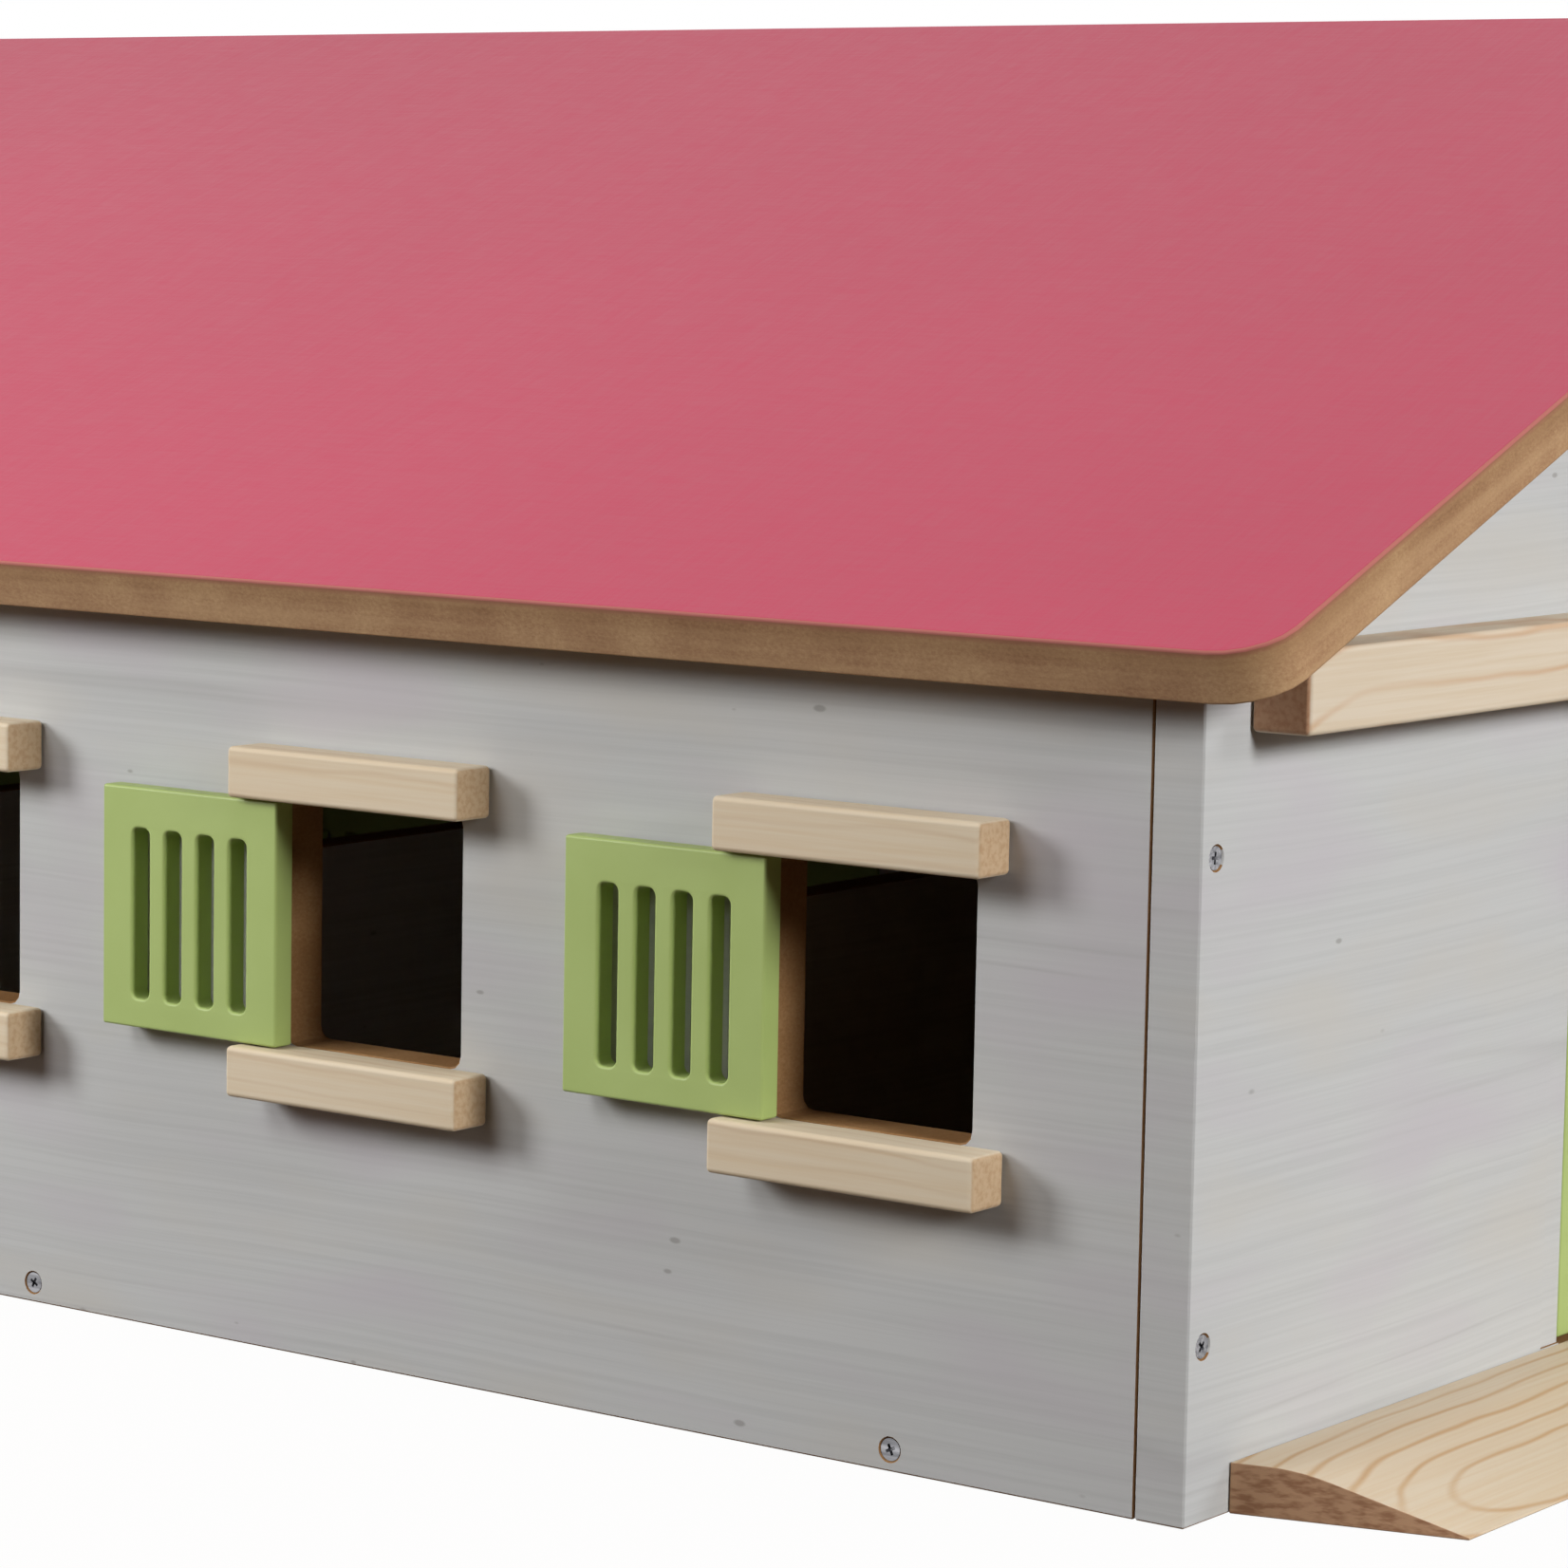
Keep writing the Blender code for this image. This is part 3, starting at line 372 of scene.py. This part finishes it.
def roofEdgeColour(tree, flat, depth, values):
    # from the top down: a thin rim, a line of glue, board darkened by a painted shade, then lighter streaky
    # board, even underneath
    board = values["board"]
    streaks = noise(tree, flat, values["streaks"], 3.0, 0.6)
    raw = rawBoardColour(tree, rawBoard)
    streaky = blendColours(tree, valueRamp(tree, streaks, *values["streakRange"]), raw, values["streak"])
    start, end = [share * board for share in values["lowerReach"]]
    below = valueRamp(tree, depth, start, end, 0.0, values["evenShare"])
    even = blendColours(tree, below, streaky, values["even"])
    # painted shade: the top part of the edge is multiplied darker, fading out further down
    start, end = [share * board for share in values["upperReach"]]
    paintedShade = valueRamp(tree, depth, start, end, 1.0, 0.0)
    edge = blendColours(tree, paintedShade, even, values["upper"], "MULTIPLY")
    gluedShare = valueRamp(tree, depth, values["glueDepth"], values["boardDepth"], 1.0, 0.0)
    glued = blendColours(tree, gluedShare, edge, values["glue"])
    return blendColours(tree, mathNode(tree, "LESS_THAN", depth, values["glueDepth"]), glued, values["rim"])


def makePinkLaminate(name, side, pitchDegrees, values=pinkLaminate):
    # side: which roof board. pitchDegrees: what lays it flat
    made, tree, shader = newFinish(name, values["roughness"], values["specular"])
    flat = placed(tree, turn=(0, pitchDegrees, 0))
    warp = noise(tree, flat, values["warp"], 1.0)
    weft = noise(tree, flat, values["weft"], 1.0)
    threads = mixValues(tree, warp, weft, 0.5)
    cloud = noise(tree, flat, values["cloud"], 3.0)
    mixed = mixValues(tree, threads, cloud, values["threadShare"])
    pink = colourRamp(tree, mixed, values["pinkPlaces"], (values["dull"], values["pink"]))
    angle = math.radians(pitchDegrees)
    up = Vector((-math.sin(angle), 0, math.cos(angle)))
    topHeight = max(up.dot(corner.co) for corner in frame["nodes"][side + "_roof_panel"].data.vertices)
    height = addNode(tree, "SeparateXYZ", {"Vector": flat}).outputs["Z"]
    depth = mathNode(tree, "SUBTRACT", topHeight, height)
    covered = mathNode(tree, "LESS_THAN", depth, values["rimDepth"])
    colour = blendColours(tree, covered, roofEdgeColour(tree, flat, depth, values), pink)
    tree.links.new(colour, shader.inputs["Base Color"])
    bare = mathNode(tree, "MULTIPLY", mathNode(tree, "SUBTRACT", 1.0, covered), values["bareRougher"])
    rough = mathNode(tree, "ADD", valueRamp(tree, threads, *values["threadGloss"]), bare)
    tree.links.new(rough, shader.inputs["Roughness"])
    addBumps(tree, shader, (threads, *values["threadBump"]))
    return made


# Zinc-plated steel for hinges and screws

zincSteel = {
    "roughness": 0.25, "bright": (170, 170, 174), "dim": (112, 112, 116), "places": (0.35, 0.65),
    "brushed": (900, 60, 900), "glossRange": (0.3, 0.7, 0.18, 0.38),
}


def makeZincSteel(values=zincSteel):
    made, tree, shader = newFinish("zincSteel", values["roughness"], metallic=1.0)
    brushed = noise(tree, placed(tree), values["brushed"], 3.0)
    colour = colourRamp(tree, brushed, values["places"], (values["dim"], values["bright"]))
    tree.links.new(colour, shader.inputs["Base Color"])
    tree.links.new(valueRamp(tree, brushed, *values["glossRange"]), shader.inputs["Roughness"])
    return made


def reachY(nodeName, inset=0.0003):
    low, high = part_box(nodeName)
    return low.y + inset, high.y - inset


roofPitch = 21.75
finishes = {
    "leftWall": makeWhiteWash("whiteWashLeftWall", 90, [(-1, 0, 0)], reachY("left_side_wall")),
    "rightWall": makeWhiteWash("whiteWashRightWall", 90, [(1, 0, 0)], reachY("right_side_wall")),
    "frontGable": makeWhiteWash("whiteWashFrontGable", 0, [(0, -1, 0), (1, 0, 0), (-1, 0, 0)]),
    "backGable": makeWhiteWash("whiteWashBackGable", 0, [(0, 1, 0), (1, 0, 0), (-1, 0, 0)]),
    "partitions": makeWhiteWash("whiteWashPartitions", 0, [(0, 1, 0), (0, -1, 0)]),
    "aisleWall": makeWhiteWash("whiteWashAisleWall", 90, [(1, 0, 0), (-1, 0, 0)]),
    "pineBeam": makePine("pineBeam"),
    "pineRamp": makePine("pineRamp"),
    "pineAlong": makePine("pineAlong"),
    "green": makeGreenLacquer(),
    "leftRoof": makePinkLaminate("pinkLaminateLeft", "left", roofPitch),
    "rightRoof": makePinkLaminate("pinkLaminateRight", "right", -roofPitch),
    "steel": makeZincSteel(),
}
print("finishes made:", len(finishes))


# Small helpers for the pieces

def newObject(name, bm):
    mesh = bpy.data.meshes.new(name)
    bm.to_mesh(mesh)
    bm.free()
    made = bpy.data.objects.new(name, mesh)
    bpy.context.scene.collection.objects.link(made)
    return made


def finishPiece(name, bm, finish, body, replaced=(), smoothAngle=35):
    # smoothAngle: the steepest edge that still looks rounded, or 0 for flat faces
    piece = newObject(name, bm)
    piece.data.materials.append(finishes[finish])
    if smoothAngle:
        piece.data.shade_smooth()
        piece.data.set_sharp_from_angle(angle=math.radians(smoothAngle))
        weighted = piece.modifiers.new("flatFaces", "WEIGHTED_NORMAL")
        weighted.weight, weighted.keep_sharp = 100, True
    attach(piece, body)
    if replaced:
        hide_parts(*replaced)


def bodyOf(nodeName):
    return frame["nodes"][nodeName]["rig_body"]


def meshOf(nodeName):
    # a merged copy of the CAD node's mesh with flat faces joined
    bm = bmesh.new()
    bm.from_mesh(frame["nodes"][nodeName].data)
    bmesh.ops.remove_doubles(bm, verts=bm.verts, dist=0.000002)
    bmesh.ops.dissolve_limit(bm, angle_limit=math.radians(0.5), verts=bm.verts, edges=bm.edges)
    return bm


def cutWith(bm, cutters):
    # the bmesh with the cutters' shapes taken out, by an exact Boolean
    target, tool = newObject("cutTarget", bm), newObject("cutTool", cutters)
    step = target.modifiers.new("cut", "BOOLEAN")
    step.operation, step.solver, step.object = "DIFFERENCE", "EXACT", tool
    bpy.context.view_layer.update()
    result = bmesh.new()
    result.from_mesh(target.evaluated_get(bpy.context.evaluated_depsgraph_get()).to_mesh())
    for helper in (target, tool):
        bpy.data.objects.remove(helper, do_unlink=True)
    return result


def roundOff(bm, geom, offset, steps, affect="EDGES"):
    bmesh.ops.bevel(
        bm, geom=geom, offset=offset, segments=steps, profile=0.5, affect=affect,
        clamp_overlap=True, material=-1,
    )


def sharpEdges(bm, degrees):
    return [edge for edge in bm.edges if edge.calc_face_angle(0) > math.radians(degrees)]


def vertsIn(geom):
    return [item for item in geom if isinstance(item, bmesh.types.BMVert)]


def softBlock(low, high, ease, steps):
    # a block between two corners with rounded edges
    bm = bmesh.new()
    place = Matrix.Translation((low + high) / 2) @ Matrix.Diagonal((*(high - low), 1))
    bmesh.ops.create_cube(bm, size=1, matrix=place)
    roundOff(bm, bm.edges, ease, steps)
    return bm


def turnedTo(direction):
    # the turn that points Z in a direction
    return Vector(direction).to_track_quat("Z", "Y").to_matrix().to_4x4()


# Slotted green boards on pins: the shutters, the stall doors and the two leaves of the doorway

greenBoards = {
    "slotWidth": 0.0055, "slotCorner": 0.0018, "cornerSteps": 4, "ease": 0.0007, "easeSteps": 3,
    "sharpOver": 50, "pinReach": 0.004, "pinRadius": 0.001, "pinSides": 24, "pinInside": 0.0005,
    "kinds": {
        "shutter": {
            "thick": 0.006, "stile": 0.0088, "pitch": 0.0103, "rail": 0.0098, "slotHeight": 0.0408,
            "gaps": (0.0004, 0.0004),
        },
        "stall_door": {
            "thick": 0.006, "stile": 0.010, "pitch": 0.0103, "rail": 0.012, "slotHeight": 0.050,
            "gaps": (0.0012, 0.0006),
        },
        "door_leaf": {
            "thick": 0.009, "stile": 0.030, "pitch": 0.0165, "rail": 0.024, "slotHeight": 0.074,
            "gaps": (0.0015, 0.0006),
        },
    },
}


def flatLoop(bm, low, high):
    # a rectangle in the XY plane
    points = [bm.verts.new((u, v, 0)) for u, v in (low, (high[0], low[1]), high, (low[0], high[1]))]
    bm.faces.new(points)
    return points


def slottedBoard(width, height, thickness, slots, values=greenBoards):
    # a board in the XY plane, its thickness round Z zero, with soft edges and rounded slots
    # slots: each one's low and high corners
    bm = bmesh.new()
    flatLoop(bm, (0, 0), (width, height))
    for low, high in slots:
        roundOff(bm, flatLoop(bm, low, high), values["slotCorner"], values["cornerSteps"], "VERTICES")
    bmesh.ops.delete(bm, geom=bm.faces[:], context="FACES_ONLY")
    bmesh.ops.triangle_fill(bm, use_beauty=True, edges=bm.edges, normal=(0, 0, 1))
    raised = bmesh.ops.extrude_face_region(bm, geom=bm.faces[:])["geom"]
    bmesh.ops.translate(bm, verts=vertsIn(raised), vec=(0, 0, thickness))
    bmesh.ops.translate(bm, verts=bm.verts, vec=(0, 0, -thickness / 2))
    bmesh.ops.recalc_face_normals(bm, faces=bm.faces)
    roundOff(bm, sharpEdges(bm, values["sharpOver"]), values["ease"], values["easeSteps"])
    return bm


def standUp(bm, corner, along):
    # stands a flat board up: its X runs in the direction along, its Y runs up, from the corner given
    along = Vector(along)
    across = along.cross(Vector((0, 0, 1)))
    turn = Matrix((along, (0, 0, 1), across)).transposed().to_4x4()
    bmesh.ops.transform(bm, matrix=Matrix.Translation(corner) @ turn, verts=bm.verts)


def makeGreenBoard(nodeName, kind, axis, values=greenBoards):
    # gaps: how far the board stays from the pins' foot and head beyond their reach
    own = values["kinds"][kind]
    low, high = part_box(nodeName)
    footGap, headGap = own["gaps"]
    foot, head = low.z + values["pinReach"] + footGap, high.z - values["pinReach"] - headGap
    size, middle = high - low, (low + high) / 2
    alongX = size.x > size.y
    width, height = max(size.x, size.y), head - foot
    between = round((width - 2 * own["stile"] - values["slotWidth"]) / own["pitch"])
    first = (width - between * own["pitch"] - values["slotWidth"]) / 2
    slotTop = height - own["rail"]
    slots = []
    for index in range(between + 1):
        left = first + index * own["pitch"]
        slots.append(((left, slotTop - own["slotHeight"]), (left + values["slotWidth"], slotTop)))
    bm = slottedBoard(width, height, own["thick"], slots)
    corner = (low.x, middle.y, foot) if alongX else (middle.x, low.y, foot)
    standUp(bm, corner, (1, 0, 0) if alongX else (0, 1, 0))
    for start, end in ((low.z, foot + values["pinInside"]), (head - values["pinInside"], high.z)):
        place = Matrix.Translation((axis[0], axis[1], (start + end) / 2))
        bmesh.ops.create_cone(
            bm, cap_ends=True, segments=values["pinSides"], radius1=values["pinRadius"],
            radius2=values["pinRadius"], depth=end - start, matrix=place,
        )
    finishPiece(nodeName + "_lacquered", bm, "green", bodyOf(nodeName), [nodeName])


axes = {joint["child"]: joint["pos_m"] for joint in frame["joints"]}
greenCount = 0
for nodeName in sorted(frame["nodes"]):
    for kind in greenBoards["kinds"]:
        if kind in nodeName:
            makeGreenBoard(nodeName, kind, axes[bodyOf(nodeName)])
            greenCount += 1
print("green boards:", greenCount)


# Pine: the bars round the windows, the beam over the doorway and the ramp

pinePieces = {"barEase": 0.0012, "barSteps": 4, "rampEase": 0.0004, "rampSteps": 2, "rampSharpOver": 60}


def makePineBars(values=pinePieces):
    for nodeName in sorted(frame["nodes"]):
        if nodeName == "doorway_beam" or "_bar_" in nodeName:
            bm = softBlock(*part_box(nodeName), values["barEase"], values["barSteps"])
            finish = "pineBeam" if nodeName == "doorway_beam" else "pineAlong"
            finishPiece(nodeName + "_pine", bm, finish, "house", [nodeName])


def makeRamp(values=pinePieces):
    bm = meshOf("entrance_ramp")
    roundOff(bm, sharpEdges(bm, values["rampSharpOver"]), values["rampEase"], values["rampSteps"])
    finishPiece("entrance_ramp_pine", bm, "pineRamp", "house", ["entrance_ramp"])


makePineBars()
makeRamp()
print("pine pieces made")


# Screws: countersunk heads with a cross recess, a little below the board's face

screws = {
    "radius": 0.0025, "rim": 0.0002, "coneDepth": 0.0017, "shankRadius": 0.0012, "shankLength": 0.0035,
    "sides": 32, "sunk": 0.0003, "slotLength": 0.0030, "slotWidth": 0.0008, "slotDepth": 0.0012,
    "slotAbove": 0.0005, "slotFootShare": 0.55, "smoothAngle": 30, "firstTurn": 25, "nextTurn": 37,
    "sinkRadius": 0.0028, "sinkDepth": 0.0031, "sinkTaper": 0.7, "sinkPast": 0.0005,
    "sideHeight": 0.0048, "sideFromFront": (0.0743, 0.3322, 0.5901),
    "gableFromSide": 0.0058, "gableHeights": (0.0375, 0.1392),
}


def crossCutter(turn, values=screws):
    # one arm of the cross recess, narrower at its foot
    bm = bmesh.new()
    bmesh.ops.create_cube(bm, size=1)
    for corner in bm.verts:
        share = 1.0 if corner.co.z > 0 else values["slotFootShare"]
        corner.co.x *= values["slotLength"] * share
        corner.co.y *= values["slotWidth"] * share
        corner.co.z = values["slotAbove"] if corner.co.z > 0 else -values["slotDepth"]
    bmesh.ops.rotate(bm, verts=bm.verts, matrix=Matrix.Rotation(math.radians(turn), 3, "Z"))
    return bm


def screwShape(values=screws):
    # its head's face is at Z zero and it points down
    bm = bmesh.new()
    bmesh.ops.create_circle(bm, cap_ends=True, segments=values["sides"], radius=values["radius"])
    lengths = (
        (values["rim"], 1.0), (values["coneDepth"], values["shankRadius"] / values["radius"]),
        (values["shankLength"], 1.0),
    )
    end = bm.faces[:]
    for index, (depth, share) in enumerate(lengths):
        step = bmesh.ops.extrude_face_region(bm, geom=end)["geom"]
        bmesh.ops.translate(bm, verts=vertsIn(step), vec=(0, 0, -depth))
        bmesh.ops.scale(bm, verts=vertsIn(step), vec=(share, share, 1))
        if index:
            # the face between two lengths would stay inside
            bmesh.ops.delete(bm, geom=end, context="FACES_ONLY")
        end = [item for item in step if isinstance(item, bmesh.types.BMFace)]
    bmesh.ops.recalc_face_normals(bm, faces=bm.faces)
    for turn in (0, 90):
        bm = cutWith(bm, crossCutter(turn))
    mesh = bpy.data.meshes.new("screwShape")
    bm.to_mesh(mesh)
    bm.free()
    return mesh


def screwPlaces(values=screws):
    # name, the board it goes through, its place on the board's face, and the direction out of the board
    low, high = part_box("front_gable")[0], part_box("back_gable")[1]
    places = []
    for side, x, out in (("left", low.x, -1), ("right", high.x, 1)):
        for number, distance in enumerate(values["sideFromFront"], 1):
            y = low.y + distance if side == "left" else high.y - distance
            spot = (x, y, values["sideHeight"])
            places.append((f"{side}_wall_screw_{number}", side + "_side_wall", spot, (out, 0, 0)))
        for gable, y, outY in (("front", low.y, -1), ("back", high.y, 1)):
            for number, height in enumerate(values["gableHeights"], 1):
                spot = (x - out * values["gableFromSide"], y, height)
                places.append((f"{gable}_gable_{side}_screw_{number}", gable + "_gable", spot, (0, outY, 0)))
    return places


def setScrew(name, shape, place, body):
    # a copy of the screw, moved to its place
    bm = bmesh.new()
    bm.from_mesh(shape)
    bmesh.ops.transform(bm, matrix=place, verts=bm.verts)
    finishPiece(name, bm, "steel", body, smoothAngle=screws["smoothAngle"])


def addSink(sinks, spot, out, values=screws):
    # the countersink flares past the face so that the cut is clean
    past, depth, radius = values["sinkPast"], values["sinkDepth"], values["sinkRadius"]
    place = Matrix.Translation(Vector(spot) + Vector(out) * (past - depth) / 2) @ turnedTo(out)
    bmesh.ops.create_cone(
        sinks, cap_ends=True, segments=values["sides"], radius1=radius - depth * values["sinkTaper"],
        radius2=radius + past, depth=depth + past, matrix=place,
    )


def makeWallsWithScrews(shape, values=screws):
    walls = {
        "left_side_wall": "leftWall", "right_side_wall": "rightWall",
        "front_gable": "frontGable", "back_gable": "backGable",
    }
    places = screwPlaces()
    for nodeName, finish in walls.items():
        sinks = bmesh.new()
        for name, board, spot, out in places:
            if board == nodeName:
                addSink(sinks, spot, out)
        bm = cutWith(meshOf(nodeName), sinks)
        finishPiece(nodeName + "_board", bm, finish, "house", [nodeName], smoothAngle=0)
    for index, (name, board, spot, out) in enumerate(places):
        spin = Matrix.Rotation(math.radians(values["firstTurn"] + values["nextTurn"] * index), 4, "Z")
        place = Matrix.Translation(Vector(spot) - Vector(out) * values["sunk"]) @ turnedTo(out) @ spin
        setScrew(name, shape, place, "house")
    return len(places)


# Two small screws to each leaf of the roof hinges, their heads almost level with the leaf

hingeScrews = {
    "fromMiddle": 0.013, "below": 0.0039, "leafOut": 0.0016, "proud": 0.00008,
    "share": 0.45, "firstTurn": 0.6,
}


def makeHingeScrews(shape, pitch, values=hingeScrews):
    # the leaf on the beam looks outwards, and the one on the roof board looks at it, tilted by the pitch
    count = 0
    faceOut = values["leafOut"] - values["proud"]
    for side, sign in (("left", -1), ("right", 1)):
        for number in (1, 2):
            for kind, out, tilt in (("beam", 1, 0), ("panel", -1, pitch)):
                leaf = f"{side}_roof_hinge_{number}_{kind}_leaf"
                low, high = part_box(leaf)
                pin = Vector(axes[side + "_roof"])
                pin.y = (low.y + high.y) / 2
                lean = Matrix.Translation(pin) @ Matrix.Rotation(math.radians(sign * tilt), 4, "Y")
                for end in (-1, 1):
                    spot = Vector((-sign * out * faceOut, end * values["fromMiddle"], -values["below"]))
                    spin = Matrix.Rotation(values["firstTurn"] + count, 4, "Z")
                    place = lean @ Matrix.Translation(spot) @ turnedTo((sign * out, 0, 0)) @ spin
                    place = place @ Matrix.Scale(values["share"], 4)
                    setScrew(f"{leaf}_screw_{(end + 3) // 2}", shape, place, bodyOf(leaf))
                    count += 1
    return count


screwMesh = screwShape()
print("screws set:", makeWallsWithScrews(screwMesh), makeHingeScrews(screwMesh, roofPitch))


# Roof boards, with smooth rounded edges
roofAngle = 40
for side in ("left", "right"):
    panel = side + "_roof_panel"
    bm = meshOf(panel)
    finishPiece(side + "_roof_board", bm, side + "Roof", side + "_roof", [panel], roofAngle)

# What stays as it was packed gets its finish, and all of the rest are hinge leaves
stays = {
    "floor_board": "partitions", "ridge_beam": "pineAlong",
    "left_aisle_wall": "aisleWall", "right_aisle_wall": "aisleWall",
}
for nodeName, node in frame["nodes"].items():
    if not node.hide_render:
        node.data.materials.clear()
        node.data.materials.append(finishes[stays.get(nodeName, "steel")])
print("packed pieces finished")


# Floor, world and lamps

studio = {
    "floorSize": 12.0, "floorDrop": 0.0003, "floorBrown": (64, 46, 31), "floorRoughness": 0.9,
    "floorSpecular": 0.1, "shown": (1, 1, 1, 1), "shadowShare": 0.16, "shadowLift": 0.85,
    "worldStrength": 0.05, "worldColour": (1.0, 0.50, 0.24, 1.0),
    # these two stand low enough to glare off the roof when it is seen from their far side
    "noGlare": ("front", "rear"),
    "lamps": {
        "key": {"from": (-1.35, 0.16, 0.84), "to": (-0.35, -0.1, 0.10), "size": 0.62, "watts": 5.8},
        "back": {"from": (-1.15, 0.74, 0.56), "to": (-0.35, 0.1, 0.10), "size": 0.45, "watts": 10.6},
        "front": {"from": (-0.62, -2.75, 1.12), "to": (-0.1, -0.35, 0.12), "size": 0.80, "watts": 59.5},
        "frontRight": {"from": (1.50, -2.40, 0.90), "to": (0.1, -0.35, 0.12), "size": 1.0, "watts": 18.0},
        "top": {"from": (-0.2, -0.7, 2.3), "to": (0.0, 0.0, 0.1), "size": 1.2, "watts": 9.0},
        "right": {"from": (1.70, 0.20, 0.75), "to": (0.35, 0.0, 0.12), "size": 1.0, "watts": 16.0},
        "rear": {"from": (-0.10, 2.70, 0.50), "to": (0.0, 0.4, 0.12), "size": 1.0, "watts": 50.0},
    },
}


def cameraShare(tree):
    # 1 for rays that show the background: from the camera, and through gloss and glass
    rays = addNode(tree, "LightPath", {}).outputs
    share = mathNode(tree, "MAXIMUM", rays["Is Camera Ray"], rays["Is Glossy Ray"])
    return mathNode(tree, "MAXIMUM", share, rays["Is Transmission Ray"])


def makeFloor(values=studio):
    # the camera sees a near white floor that keeps the object's shadow, and the lamps light a dark warm one
    bm = bmesh.new()
    bmesh.ops.create_grid(bm, x_segments=1, y_segments=1, size=values["floorSize"])
    bmesh.ops.translate(bm, verts=bm.verts, vec=(0, 0, -values["floorDrop"]))
    floor = newObject("studioFloor", bm)
    made, tree, shader = newFinish("studioFloor", values["floorRoughness"], values["floorSpecular"])
    shader.inputs["Base Color"].default_value = paint(*values["floorBrown"])
    seen = cameraShare(tree)
    glow = addNode(tree, "Emission", {"Color": values["shown"], "Strength": 1.0}).outputs["Emission"]
    share = mathNode(tree, "MULTIPLY", seen, 1.0 - values["shadowShare"])
    mixed = addNode(tree, "MixShader", {0: share, 1: shader.outputs["BSDF"], 2: glow}).outputs["Shader"]
    strength = mathNode(tree, "MULTIPLY", seen, values["shadowShare"] * values["shadowLift"])
    lift = addNode(tree, "Emission", {"Color": values["shown"], "Strength": strength}).outputs["Emission"]
    added = addNode(tree, "AddShader", {0: mixed, 1: lift}).outputs["Shader"]
    tree.links.new(added, tree.nodes["Material Output"].inputs["Surface"])
    floor.data.materials.append(made)


def makeWorld(values=studio):
    world = bpy.data.worlds.new("studioWorld")
    bpy.context.scene.world = world
    world.use_nodes = True
    tree = world.node_tree
    background = tree.nodes["Background"]
    share = cameraShare(tree)
    colour = blendColours(tree, share, values["worldColour"], values["shown"])
    tree.links.new(colour, background.inputs["Color"])
    strength = valueRamp(tree, share, 0.0, 1.0, values["worldStrength"], 1.0)
    tree.links.new(strength, background.inputs["Strength"])


def makeLamps(values=studio):
    for name, own in values["lamps"].items():
        light = bpy.data.lights.new(name + "Lamp", "AREA")
        light.shape, light.size, light.energy = "DISK", own["size"], own["watts"]
        lamp = bpy.data.objects.new(name + "Lamp", light)
        bpy.context.scene.collection.objects.link(lamp)
        start = Vector(own["from"])
        aim = (Vector(own["to"]) - start).to_track_quat("-Z", "Y").to_matrix().to_4x4()
        lamp.matrix_world = Matrix.Translation(start) @ aim
        lamp.visible_glossy = name not in values["noGlare"]


# Camera: fitted to the photograph, which looks at the stable's front left corner from close to the ground

cameraView = {
    "fromCorner": (-0.84947, -0.51930, 0.26350), "heading": -53.657, "rise": -6.334, "roll": 1.032,
    "lens": 112.925, "sensor": 36.0, "clipStart": 0.05,
}


def makeCamera(values=cameraView):
    data = bpy.data.cameras.new("photoCamera")
    data.lens, data.sensor_width, data.clip_start = values["lens"], values["sensor"], values["clipStart"]
    camera = bpy.data.objects.new("photoCamera", data)
    bpy.context.scene.collection.objects.link(camera)
    turn = Matrix.Rotation(math.radians(values["heading"]), 4, "Z")
    turn = turn @ Matrix.Rotation(math.radians(90 + values["rise"]), 4, "X")
    turn = turn @ Matrix.Rotation(math.radians(values["roll"]), 4, "Z")
    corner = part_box("front_gable")[0]
    camera.matrix_world = Matrix.Translation(corner + Vector(values["fromCorner"])) @ turn
    bpy.context.scene.camera = camera


makeFloor()
makeWorld()
makeLamps()
makeCamera()
bpy.context.scene.view_settings.view_transform = "Standard"
print("studio ready")
